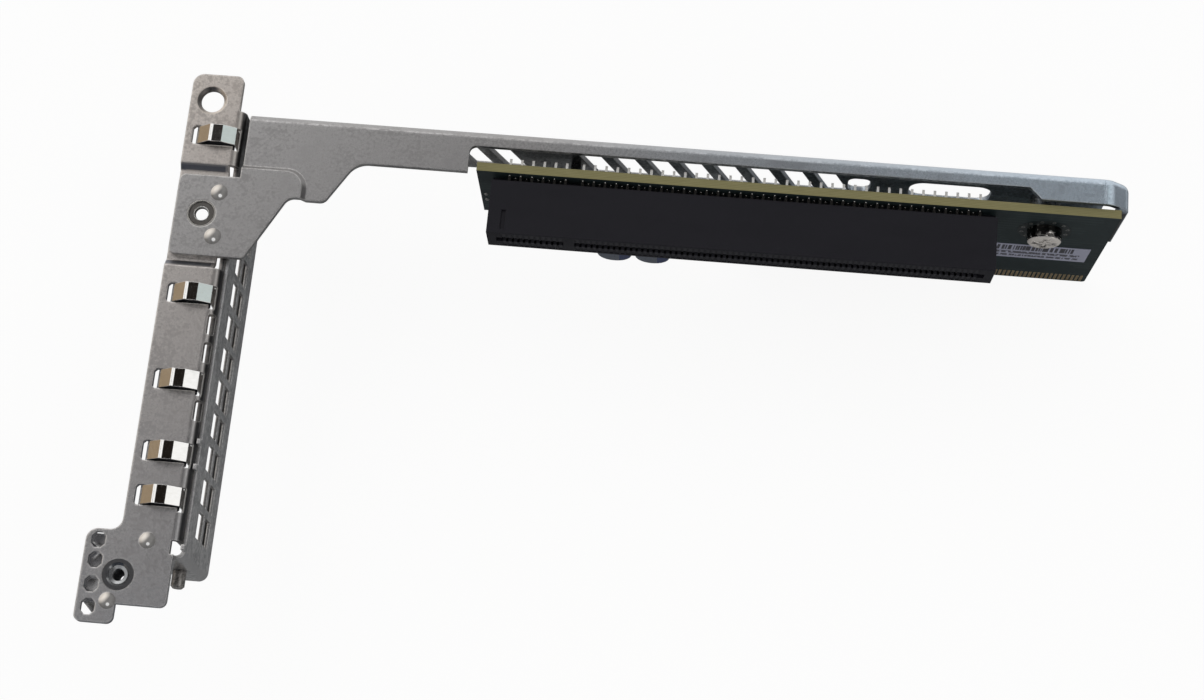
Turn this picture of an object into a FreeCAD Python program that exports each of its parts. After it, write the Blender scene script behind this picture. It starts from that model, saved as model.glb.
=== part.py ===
"""Server riser assembly: an L-shaped frame of folded sheet steel that carries a small riser board.

The rear bracket, with its spring clips and vent panel, stands at the left end. The arm bracket runs to
the right and holds the board on edge, with a long card slot facing the front. Millimetres, +Z up. The
origin is at the bottom edge of the board's plug, at the middle of its width and thickness.
"""
import FreeCAD, Part
import math
import os
import re

import Sketcher

SIZES = {
    # Riser board and its plug
    "board_thick": 1.6,
    "board_length": 113.2,
    "board_height": 33.0,
    "shelf_height": 19.2,
    "plug_width": 64.4,
    "plug_corner": 0.6,
    "notch_width": 1.9,
    "notch_depth": 5.5,
    "notch_inset": 26.0,
    # Gold fingers along the plug
    "finger_width": 0.5,
    "finger_height": 2.9,
    "finger_pitch": 0.8,
    "finger_rise": 0.3,
    "finger_thick": 0.05,
    "finger_margin": 1.0,
    "right_fingers": 30,
    "left_fingers": 45,
    # Card slot on the board's front
    "slot_length": 89.0,
    "slot_height": 11.25,
    "slot_width": 6.4,
    "slot_inset": 2.85,
    "slot_drop": 0.5,
    "foot_height": 1.3,
    "foot_width": 1.4,
    "mouth_width": 1.8,
    "mouth_end": 1.6,
    "key_place": 14.5,
    "key_width": 1.9,
    "groove_width": 0.8,
    "groove_length": 3.6,
    "groove_depth": 0.3,
    "groove_place": 2.7,
    # Contacts in the slot, two staggered rows on each side of the mouth
    "contact_pitch": 1.0,
    "contact_start": 3.0,
    "contact_width": 0.45,
    "contact_thick": 0.3,
    "contact_recess": 3.5,
    "row_inner": 1.25,
    "row_outer": 2.35,
    "cavity_width": 0.62,
    "cavity_reach": 2.65,
    "front_contacts": 11,
    "rear_contacts": 71,
    "key_skip": 3,
    "tail_length": 1.6,
    "contact_nose": 0.05,
    # Board fastening
    "screw_inset": 11.9,
    "screw_drop": 8.2,
    "screw_shank": 3.0,
    "screw_length": 5.2,
    "head_width": 6.2,
    "head_height": 2.5,
    "drive_width": 0.8,
    "drive_length": 3.2,
    "drive_depth": 1.2,
    "shank_play": 0.2,
    "standoff_width": 5.4,
    "pin_inset": 16.85,
    "pin_drop": 9.5,
    "pin_width": 1.8,
    # Can capacitors below the slot
    "can_width": 6.3,
    "can_height": 8.5,
    "base_width": 6.6,
    "base_height": 1.4,
    "base_cut": 1.3,
    "can_inset": 25.0,
    "can_pitch": 6.9,
    "can_drop": 14.85,
    # Label on the board's front
    "label_width": 17.8,
    "label_height": 6.6,
    "label_thick": 0.1,
    "label_inset": 2.1,
    "label_drop": 15.8,
    # Sheet steel of both brackets
    "sheet": 1.0,
    "bend_radius": 0.6,
    "corner_small": 1.2,
    "corner_large": 2.0,
    # Arm bracket
    "arm_rise": 1.2,
    "wall_gap": 4.6,
    "wall_height": 15.2,
    "end_gap": 0.55,
    "end_height": 17.9,
    "end_relief": 1.2,
    "strip_depth": 3.0,
    "strip_start": 1.45,
    "wide_clear": 0.5,
    "wide_start": 14.0,
    "wide_slope": 2.1,
    "left_depth": 8.0,
    "lobe_root": 19.9,
    "lobe_tip": 15.1,
    "lobe_left": 8.9,
    "lobe_depth": 15.8,
    "lobe_round": 1.6,
    "root_round": 4.0,
    "joggle_reach": 11.0,
    "joggle_depth": 10.9,
    "joggle_run": 0.8,
    "joggle_round": 3.0,
    "tab_toe": 2.5,
    "tab_start": 12.8,
    "tab_stop": 27.75,
    "tab_margin": 0.25,
    # Openings in the arm's wall
    "slit_width": 4.0,
    "slit_pitch": 6.0,
    "slit_lean": 3.2,
    "slit_drop": 4.4,
    "slit_height": 8.4,
    "slit_count": 8,
    "slit_start": 17.0,
    "pair_start": -5.4,
    "pair_count": 2,
    "oval_place": 67.6,
    "oval_length": 4.0,
    "oval_height": 3.0,
    "window_place": 84.3,
    "window_length": 14.6,
    "window_height": 5.6,
    "oval_drop": 9.0,
    "window_drop": 9.5,
    # Rear bracket
    "rear_reach": 41.75,
    "joint_gap": 0.7,
    "flange_width": 10.2,
    "ear_reach": 6.45,
    "ear_inset": 1.15,
    "bend_inset": 0.2,
    "bend_stop": 78.2,
    "recess_clear": 0.9,
    "recess_run": 1.3,
    "foot_start": 77.2,
    "foot_length": 15.75,
    "foot_out": 5.7,
    "foot_inset": 0.9,
    "foot_relief": 2.4,
    "heel_rise": 3.35,
    "heel_inset": 9.35,
    "rear_height": 21.1,
    "port_start": 16.5,
    "port_stop": 76.2,
    "port_drop": 7.1,
    "port_sill": 3.4,
    "ear_hole": 4.1,
    "ear_cone": 0.6,
    "ear_hole_place": 1.47,
    "ear_hole_inset": 6.35,
    "code_hole_width": 2.4,
    "code_hole_length": 2.7,
    "code_hole_clip": 0.7,
    "code_hole_inset": 2.1,
    "code_hole_1": 1.9,
    "code_hole_2": 5.3,
    "code_hole_3": 9.4,
    "code_hole_4": 13.2,
    "dome_width": 2.7,
    "dome_height": 0.55,
    "dome_edge": 0.5,
    # Spring clips and hook slots along the rear flange
    "clip_width": 3.2,
    "clip_thick": 0.2,
    "clip_inset": 0.55,
    "clip_ramp_start": 0.6,
    "clip_ramp_stop": 3.1,
    "clip_ridge": 3.55,
    "clip_flat_start": 3.95,
    "clip_flat_stop": 5.65,
    "clip_lip": 0.1,
    "clip_flat_drop": 0.2,
    "clip_shoulder": 1.3,
    "clip_rise": 1.8,
    "clip_slot_length": 8.4,
    "clip_slot_width": 3.5,
    "clip_slot_clip": 0.4,
    "clip_end_length": 4.2,
    "clip_end_width": 0.9,
    "clip_end_shift": 0.4,
    "clip_leg": 3.0,
    "clip_1": 5.3,
    "clip_2": 34.9,
    "clip_3": 50.5,
    "clip_4": 63.2,
    "clip_5": 70.9,
    "hook_slot_width": 1.1,
    "hook_slot_length": 3.7,
    "hook_slot_inset": 0.1,
    "hook_slot_1": 40.1,
    "hook_slot_2": 45.2,
    "hook_slot_3": 55.6,
    # Vent panel
    "panel_thick": 0.6,
    "panel_bend": 1.0,
    "panel_drop": 1.9,
    "panel_start": 12.7,
    "panel_stop": 81.0,
    "panel_flap": 4.6,
    "vent_start": 19.6,
    "vent_pitch": 6.0,
    "vent_length": 4.7,
    "vent_height": 4.4,
    "vent_bar": 1.0,
    "vent_drop": 5.5,
    "vent_count": 10,
    "lug_width": 0.9,
    "lug_rise": 1.3,
    "lug_1": 60.8,
    "lug_2": 65.2,
    "lug_3": 79.1,
    # Hollow rivet in the joint, captive nut, backing plate and panel stud
    "rivet_width": 5.0,
    "rivet_bore": 1.9,
    "rivet_sink": 0.3,
    "rivet_rim": 0.2,
    "rivet_inset": 5.15,
    "rivet_place": 20.0,
    "dome_inset": 2.6,
    "dome_reach": 4.1,
    "nut_width": 5.3,
    "nut_thread": 3.0,
    "nut_length": 7.0,
    "nut_proud": 0.12,
    "nut_cone": 0.5,
    "nut_inset": 6.3,
    "nut_place": 7.5,
    "backing_thick": 0.8,
    "backing_edge": 0.7,
    "backing_cut": 3.0,
    "stud_width": 2.4,
    "stud_length": 3.1,
    "stud_edge": 0.4,
    "stud_inset": 2.4,
    "stud_drop": 10.5,
    "foot_dome_1_inset": 10.3,
    "foot_dome_1_place": 1.4,
    "foot_dome_2_inset": 5.2,
    "foot_dome_2_place": 12.0,
}

PLACES = {
    # Board and slot
    "board_front": "-board_thick / 2",
    "board_back": "board_thick / 2",
    "board_right": "plug_width / 2",
    "board_left": "board_right - board_length",
    "plug_left": "-plug_width / 2",
    "shelf_bottom": "board_height - shelf_height",
    "notch_middle": "board_right - notch_inset",
    "slot_left": "board_left + slot_inset",
    "slot_right": "slot_left + slot_length",
    "slot_top": "board_height - slot_drop",
    "slot_bottom": "slot_top - slot_width",
    "slot_middle": "slot_top - slot_width / 2",
    "slot_front": "board_front - slot_height",
    "slot_back": "board_front - foot_height",
    "key_left": "slot_left + key_place - key_width / 2",
    "key_right": "slot_left + key_place + key_width / 2",
    "first_contact": "slot_left + contact_start",
    "second_contact": "first_contact + contact_pitch * (front_contacts - 1 + key_skip)",
    "screw_place": "board_right - screw_inset",
    "screw_level": "board_height - screw_drop",
    "pin_place": "board_left + pin_inset",
    "pin_level": "board_height - pin_drop",
    "can_level": "board_height - can_drop",
    # Arm bracket
    "bend_outer": "sheet + bend_radius",
    "wall_front": "board_back + wall_gap",
    "wall_back": "wall_front + sheet",
    "arm_top": "board_height + arm_rise",
    "arm_bottom": "arm_top - sheet",
    "tab_top": "arm_top + sheet",
    "wall_bottom": "arm_top - wall_height",
    "flat_back": "wall_back - bend_outer",
    "end_inner": "board_right + end_gap",
    "end_outer": "end_inner + sheet",
    "flat_right": "end_outer - bend_outer",
    "wall_right": "flat_right - end_relief",
    "wide_near": "board_back + wide_clear",
    "strip_near": "wall_back - strip_depth",
    "arm_left": "rear_face + joint_gap",
    "tab_left": "flange_left + tab_margin",
    "tab_near": "wall_back - tab_stop",
    "tab_far": "wall_back - tab_start",
    # Rear bracket
    "rear_face": "board_left - rear_reach",
    "rear_inner": "rear_face - sheet",
    "rear_flat": "rear_face - bend_outer",
    "flange_left": "rear_face - flange_width",
    "flange_bottom": "tab_top - sheet",
    "rear_bottom": "tab_top - rear_height",
    "bend_far": "wall_back - bend_inset",
    "bend_near": "wall_back - bend_stop",
    "pad_far": "tab_far + recess_clear",
    "step_far": "pad_far + recess_run",
    "pad_near": "tab_near - recess_clear",
    "step_near": "pad_near - recess_run",
    "ear_end": "wall_back + ear_reach",
    "ear_right": "rear_face - ear_inset",
    "foot_far": "wall_back - foot_start",
    "foot_near": "foot_far - foot_length",
    "foot_left": "flange_left - foot_out",
    "foot_right": "rear_face - foot_inset",
    "heel_near": "foot_near + heel_rise",
    "heel_left": "rear_face - heel_inset",
    "foot_shoulder": "bend_near - foot_relief",
    "clip_middle": "rear_face - clip_inset - clip_slot_length / 2",
    "nut_x": "foot_left + nut_inset",
    "nut_y": "foot_far - nut_place",
    "rivet_x": "rear_face - rivet_inset",
    "rivet_y": "wall_back - rivet_place",
    # Vent panel
    "panel_face": "rear_face + panel_thick",
    "panel_top": "tab_top - panel_drop",
    "panel_far": "wall_back - panel_start",
    "panel_near": "wall_back - panel_stop",
    "vent_top": "panel_top - vent_drop",
}

CLIPS = ("clip_1", "clip_2", "clip_3", "clip_4", "clip_5")
HOOK_SLOTS = ("hook_slot_1", "hook_slot_2", "hook_slot_3")
CODE_HOLES = ("code_hole_1", "code_hole_2", "code_hole_3", "code_hole_4")
LUGS = ("lug_1", "lug_2", "lug_3")
PLANES = {"Z": "XY_Plane", "Y": "XZ_Plane", "X": "YZ_Plane"}
OVERCUT = 1.0

doc = FreeCAD.newDocument("riser_assembly")
dims = doc.addObject("Spreadsheet::Sheet", "dims")
for row, (name, size) in enumerate(SIZES.items(), start=1):
    dims.set(f"A{row}", name)
    dims.set(f"B{row}", str(size))
    dims.setAlias(f"B{row}", name)
doc.recompute()


def formula(text):
    """Write out a formula so that every size in it points at its cell."""
    def cell(match):
        word = match.group()
        if word in SIZES:
            return "dims." + word
        if word in PLACES:
            return "(" + formula(PLACES[word]) + ")"
        return word
    return re.sub(r"[a-z_]+[0-9]*(?:_[a-z]+)*", cell, str(text))


def value(text):
    """The number that a formula gives with the sizes as they stand."""
    found = dims.evalExpression(formula(text))
    return float(getattr(found, "Value", found))


def bind(thing, prop, text):
    thing.setExpression(prop, formula(text))


def new_body(label):
    body = doc.addObject("PartDesign::Body", label)
    body.Label = label
    return body


def origin_item(body, role):
    for item in body.Origin.OriginFeatures:
        if item.Role == role:
            return item
    raise ValueError(role)


def new_sketch(body, name, axis, offset):
    """A sketch square to an axis, at the given place along it."""
    sketch = body.newObject("Sketcher::SketchObject", name)
    sketch.AttachmentSupport = [(origin_item(body, PLANES[axis]), "")]
    sketch.MapMode = "FlatFace"
    sign = "-1 * " if axis == "Y" else ""
    bind(sketch, "AttachmentOffset.Base.z", f"{sign}({offset})")
    return sketch


def pin_point(sketch, item, end, across, up):
    for kind, text in (("DistanceX", across), ("DistanceY", up)):
        number = sketch.addConstraint(Sketcher.Constraint(kind, -1, 1, item, end, value(text)))
        bind(sketch, f"Constraints[{number}]", text)


def round_corner(sketch, corner, here, before, after, lines):
    """Fit an arc of the corner's radius between the lines that meet there."""
    radius = value(corner[2])
    half = before.getAngle(after) / 2
    middle = here + (before + after).normalize() * (radius / math.sin(half))
    reach = radius / math.tan(half)
    arrive = here + before * reach - middle
    leave = here + after * reach - middle
    angles = [math.atan2(arrive.y, arrive.x), math.atan2(leave.y, leave.x)]
    first, last = 1, 2
    if before.cross(after).z > 0:
        angles.reverse()
        first, last = 2, 1
    circle = Part.Circle(middle, FreeCAD.Vector(0, 0, 1), radius)
    arc = sketch.addGeometry(Part.ArcOfCircle(circle, *angles), False)
    point = sketch.addGeometry(Part.Point(here), True)
    arriving, leaving = lines
    sketch.addConstraint(Sketcher.Constraint("Tangent", arriving, 2, arc, first))
    sketch.addConstraint(Sketcher.Constraint("Tangent", arc, last, leaving, 1))
    sketch.addConstraint(Sketcher.Constraint("PointOnObject", point, 1, arriving))
    sketch.addConstraint(Sketcher.Constraint("PointOnObject", point, 1, leaving))
    number = sketch.addConstraint(Sketcher.Constraint("Radius", arc, radius))
    bind(sketch, f"Constraints[{number}]", corner[2])
    pin_point(sketch, point, 1, corner[0], corner[1])


def draw_outline(sketch, corners):
    """Draw a closed outline. A corner is (across, up), or (across, up, radius) where it is rounded."""
    points = [FreeCAD.Vector(value(corner[0]), value(corner[1]), 0) for corner in corners]
    count = len(points)
    starts, stops, turns = [], [], []
    for i, corner in enumerate(corners):
        before = (points[i - 1] - points[i]).normalize()
        after = (points[(i + 1) % count] - points[i]).normalize()
        reach = 0
        if len(corner) == 3:
            reach = value(corner[2]) / math.tan(before.getAngle(after) / 2)
        stops.append(points[i] + before * reach)
        starts.append(points[i] + after * reach)
        turns.append((before, after))
    lines = []
    for i in range(count):
        lines.append(sketch.addGeometry(Part.LineSegment(starts[i], stops[(i + 1) % count]), False))
    for i, corner in enumerate(corners):
        pair = (lines[i - 1], lines[i])
        if len(corner) == 3:
            round_corner(sketch, corner, points[i], *turns[i], pair)
        else:
            sketch.addConstraint(Sketcher.Constraint("Coincident", pair[0], 2, pair[1], 1))
            pin_point(sketch, pair[1], 1, corner[0], corner[1])


def draw_circle(sketch, across, up, width):
    middle = FreeCAD.Vector(value(across), value(up), 0)
    circle = Part.Circle(middle, FreeCAD.Vector(0, 0, 1), value(width) / 2)
    item = sketch.addGeometry(circle, False)
    pin_point(sketch, item, 3, across, up)
    number = sketch.addConstraint(Sketcher.Constraint("Diameter", item, value(width)))
    bind(sketch, f"Constraints[{number}]", width)


def rectangle(left, right, low, high, radius=None):
    """Corners of a rectangle, anticlockwise."""
    corners = [(left, low), (right, low), (right, high), (left, high)]
    if radius:
        corners = [corner + (radius,) for corner in corners]
    return corners


def clipped(left, right, low, high, clip):
    """Corners of a rectangle whose four corners are cut off straight."""
    return [
        (f"{left} + {clip}", low),
        (f"{right} - {clip}", low),
        (right, f"{low} + {clip}"),
        (right, f"{high} - {clip}"),
        (f"{right} - {clip}", high),
        (f"{left} + {clip}", high),
        (left, f"{high} - {clip}"),
        (left, f"{low} + {clip}"),
    ]


def draw(sketch, shapes):
    """Each shape is a list of corners, or a circle as (across, up, width)."""
    for shape in shapes:
        if isinstance(shape, tuple):
            draw_circle(sketch, *shape)
        else:
            draw_outline(sketch, shape)


def add(body, name, axis, shapes, start, stop, taper=None):
    """Add material: the shapes, drawn square to an axis, from one place along it to another."""
    sketch = new_sketch(body, name + "_sketch", axis, stop if axis == "Y" else start)
    draw(sketch, shapes)
    pad = body.newObject("PartDesign::Pad", name)
    pad.Profile = sketch
    bind(pad, "Length", f"({stop}) - ({start})")
    if taper:
        bind(pad, "TaperAngle", taper)
    doc.recompute()
    return pad


def cut(body, name, axis, shapes, start, stop, taper=None, upward=False):
    """Remove material in the same way. A taper narrows the cut along its depth."""
    before = body.Tip.Shape.Volume
    from_start = (axis == "Y") != upward
    sketch = new_sketch(body, name + "_sketch", axis, start if from_start else stop)
    draw(sketch, shapes)
    pocket = body.newObject("PartDesign::Pocket", name)
    pocket.Profile = sketch
    pocket.Reversed = upward
    bind(pocket, "Length", f"({stop}) - ({start})")
    if taper:
        bind(pocket, "TaperAngle", taper)
    doc.recompute()
    if body.Tip.Shape.Volume >= before:
        raise RuntimeError(name + " removes nothing")
    return pocket


def repeat(body, name, feature, axis, count, pitch, backwards=False):
    """Repeat a feature along an axis."""
    pattern = body.newObject("PartDesign::LinearPattern", name)
    pattern.Originals = [feature]
    pattern.Direction = (origin_item(body, axis + "_Axis"), [""])
    pattern.Reversed = backwards
    bind(pattern, "Length", f"({pitch}) * ({count} - 1)")
    bind(pattern, "Occurrences", count)
    body.Tip = pattern
    doc.recompute()
    return pattern


def bevel_edges(body, name, size, wanted):
    """Chamfer the edges of the tip that the test picks."""
    base = body.Tip
    edges = [f"Edge{i}" for i, edge in enumerate(base.Shape.Edges, start=1) if wanted(edge)]
    feature = body.newObject("PartDesign::Chamfer", name)
    feature.Base = (base, edges)
    bind(feature, "Size", size)
    doc.recompute()
    return feature


def circle_at(level, width):
    """Pick round edges of one width that lie flat at one level."""
    def wanted(edge):
        if not isinstance(edge.Curve, Part.Circle):
            return False
        flat = abs(edge.BoundBox.ZMin - value(level)) < 1e-4 and edge.BoundBox.ZLength < 1e-4
        return flat and abs(edge.Curve.Radius - value(width) / 2) < 1e-4
    return wanted


def turned(label, profile, place, forward=False):
    """A turned piece: a half section of (radius, height) spun about its axis, then set in place.

    The axis points up, or to the front where forward is true.
    """
    body = new_body(label)
    sketch = new_sketch(body, label + "_section", "Y", "0")
    draw_outline(sketch, profile)
    spin = body.newObject("PartDesign::Revolution", label + "_turned")
    spin.Profile = sketch
    spin.ReferenceAxis = (sketch, ["V_Axis"])
    spin.Angle = 360
    if forward:
        body.Placement.Rotation = FreeCAD.Rotation(FreeCAD.Vector(1, 0, 0), 90)
    for letter, text in zip("xyz", place):
        bind(body, "Placement.Base." + letter, text)
    doc.recompute()
    return body


def riser_board():
    """Board with a short left half, a long plug on the right with its key notch, and two holes."""
    body = new_body("riser_board")
    outline = [
        ("board_left", "shelf_bottom"),
        ("plug_left", "shelf_bottom"),
        ("plug_left", "0", "plug_corner"),
        ("notch_middle - notch_width / 2", "0"),
        ("notch_middle - notch_width / 2", "notch_depth"),
        ("notch_middle + notch_width / 2", "notch_depth"),
        ("notch_middle + notch_width / 2", "0"),
        ("board_right", "0", "plug_corner"),
        ("board_right", "board_height"),
        ("board_left", "board_height"),
    ]
    add(body, "board", "Y", [outline], "board_front", "board_back")
    holes = [
        ("screw_place", "screw_level", "screw_shank + 2 * shank_play"),
        ("pin_place", "pin_level", "pin_width + 2 * shank_play"),
    ]
    cut(body, "board_holes", "Y", holes, "board_front", "board_back")
    return body


def finger_row(label, face, proud):
    """Gold fingers on one face of the plug, in two groups beside the notch. Each thins out upwards."""
    body = new_body(label)
    groups = (
        ("right", "board_right - finger_margin", "right_fingers"),
        ("left", "plug_left + finger_margin + finger_pitch * (left_fingers - 1)", "left_fingers"),
    )
    wedge = [
        (face, "finger_rise"),
        (proud, "finger_rise"),
        (face, "finger_rise + finger_height"),
    ]
    for side, place, count in groups:
        left = f"{place} - finger_width / 2"
        right = f"{place} + finger_width / 2"
        finger = add(body, f"{label}_{side}", "X", [wedge], left, right)
        repeat(body, f"{label}_{side}_row", finger, "X", count, "finger_pitch", backwards=True)
    return body


def slot_housing():
    """Moulded slot: a body on a narrow foot, its keyed mouth, and a cavity for every contact."""
    body = new_body("slot_housing")
    outer = rectangle("slot_left", "slot_right", "slot_bottom", "slot_top")
    add(body, "slot_body", "Y", [outer], "slot_front", "slot_back")
    foot = rectangle(
        "slot_left",
        "slot_right",
        "slot_middle - foot_width / 2",
        "slot_middle + foot_width / 2",
    )
    add(body, "slot_foot", "Y", [foot], "slot_back", "board_front")
    low = "slot_middle - mouth_width / 2"
    high = "slot_middle + mouth_width / 2"
    mouths = [
        rectangle("slot_left + mouth_end", "key_left", low, high),
        rectangle("key_right", "slot_right - mouth_end", low, high),
    ]
    cut(body, "slot_mouth", "Y", mouths, "slot_front", "slot_back")
    groove = rectangle(
        "slot_left + groove_place - groove_width / 2",
        "slot_left + groove_place + groove_width / 2",
        "slot_front + mouth_end / 2",
        "slot_front + mouth_end / 2 + groove_length",
    )
    cut(body, "slot_groove", "Z", [groove], "slot_top - groove_depth", "slot_top")
    overlap = "mouth_width / 2 - contact_thick / 2"
    for group, place, count in contact_groups():
        left = f"{place} - cavity_width / 2"
        right = f"{place} + cavity_width / 2"
        pair = [
            rectangle(left, right, f"slot_middle + {overlap}", "slot_middle + cavity_reach"),
            rectangle(left, right, "slot_middle - cavity_reach", f"slot_middle - ({overlap})"),
        ]
        cavity = cut(body, f"{group}_cavity", "Y", pair, "slot_front", "slot_back")
        repeat(body, f"{group}_cavities", cavity, "X", count, "contact_pitch")
    return body


def contact_groups():
    return (
        ("front", "first_contact", "front_contacts"),
        ("rear", "second_contact", "rear_contacts"),
    )


def contact_rows(label, side, rows, root, tip, tip_level=None):
    """Wedge-shaped pins on one side of the mouth: thick at the root, an edge at the tip.

    Every other contact stands in the outer row, and the ones between in the inner row.
    """
    body = new_body(label)
    for group, place, count in contact_groups():
        starts = {"outer": place, "inner": f"{place} + contact_pitch"}
        counts = {"outer": f"ceil({count} / 2)", "inner": f"floor({count} / 2)"}
        for row in rows:
            level = f"slot_middle + {side} * row_{row}"
            wedge = [
                (root, f"{level} - contact_thick / 2"),
                (root, f"{level} + contact_thick / 2"),
                (tip, tip_level or level),
            ]
            left = f"{starts[row]} - contact_width / 2"
            right = f"{starts[row]} + contact_width / 2"
            name = f"{label}_{group}_{row}"
            pin = add(body, name, "X", [wedge], left, right)
            repeat(body, name + "_row", pin, "X", counts[row], "2 * contact_pitch")
    return body


def slot_contacts(label, side):
    """Sprung blades that lean from the board towards the mouth."""
    nose = f"slot_middle + {side} * (mouth_width / 2 - contact_nose)"
    return contact_rows(label, side, ("outer", "inner"), "board_front", "slot_front + contact_recess", nose)


def slot_tails(label, side):
    """Soldered ends of the outer contacts, standing out of the board's back."""
    return contact_rows(label, side, ("outer",), "board_back", "board_back + tail_length")


def board_screw():
    """Cheese head screw with a cross drive."""
    radius = "screw_shank / 2"
    profile = [
        ("0", "-screw_length"),
        (radius, "-screw_length"),
        (radius, "0"),
        ("head_width / 2", "0"),
        ("head_width / 2", "head_height"),
        ("0", "head_height"),
    ]
    body = turned("board_screw", profile, ("screw_place", "board_front", "screw_level"), True)
    arms = (
        rectangle("-drive_length / 2", "drive_length / 2", "-drive_width / 2", "drive_width / 2"),
        rectangle("-drive_width / 2", "drive_width / 2", "-drive_length / 2", "drive_length / 2"),
    )
    for number, arm in enumerate(arms, start=1):
        cut(body, f"drive_{number}", "Z", [arm], "head_height - drive_depth", "head_height")
    return body


def standoff():
    """Threaded standoff on the arm's wall, against the board's back."""
    bore = "screw_shank / 2"
    profile = [
        (bore, "-wall_gap"),
        ("standoff_width / 2", "-wall_gap"),
        ("standoff_width / 2", "0"),
        (bore, "0"),
    ]
    return turned("standoff", profile, ("screw_place", "board_back", "screw_level"), True)


def locating_pin():
    """Locating pin on the arm's wall; its end fills the board's left hole."""
    profile = [
        ("0", "-wall_gap"),
        ("pin_width / 2", "-wall_gap"),
        ("pin_width / 2", "board_thick"),
        ("0", "board_thick"),
    ]
    return turned("locating_pin", profile, ("pin_place", "board_back", "pin_level"), True)


def capacitor(number):
    """Can capacitor: a square plastic base with two cut corners, and a metal can on it."""
    place = f"board_left + can_inset + {number - 1} * can_pitch"
    base = new_body(f"capacitor_{number}_base")
    left = f"{place} - base_width / 2"
    right = f"{place} + base_width / 2"
    low = "can_level - base_width / 2"
    high = "can_level + base_width / 2"
    outline = [
        (f"{left} + base_cut", low),
        (right, low),
        (right, high),
        (f"{left} + base_cut", high),
        (left, f"{high} - base_cut"),
        (left, f"{low} + base_cut"),
    ]
    add(base, f"base_{number}", "Y", [outline], "board_front - base_height", "board_front")
    radius = "can_width / 2"
    profile = [
        ("0", "0"),
        (radius, "0"),
        (radius, "can_height - base_height"),
        ("0", "can_height - base_height"),
    ]
    seat = (place, "board_front - base_height", "can_level")
    return base, turned(f"capacitor_{number}_can", profile, seat, True)


def board_label():
    """Thin paper label."""
    label = doc.addObject("Part::Box", "board_label")
    label.Label = "board_label"
    bind(label, "Length", "label_width")
    bind(label, "Width", "label_thick")
    bind(label, "Height", "label_height")
    bind(label, "Placement.Base.x", "board_right - label_inset - label_width")
    bind(label, "Placement.Base.y", "board_front - label_thick")
    bind(label, "Placement.Base.z", "board_height - label_drop - label_height")
    return label


def fold_profile(flat, face, top, bottom):
    """Section of a sheet that turns down at its edge, drawn across the bend.

    It starts one sheet's thickness inside the flat, so that the two join.
    """
    return [
        (f"{flat} - sheet", f"{top} - sheet"),
        (f"{face} - sheet", f"{top} - sheet", "bend_radius"),
        (f"{face} - sheet", bottom),
        (face, bottom),
        (face, top, "bend_outer"),
        (f"{flat} - sheet", top),
    ]


def add_dome(body, name, x, y):
    """A small round locating dome pressed up out of the sheet."""
    top = "tab_top + dome_height"
    add(body, name, "Z", [(x, y, "dome_width")], "tab_top", top, taper="-1 * atan(dome_edge / dome_height)")


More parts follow.
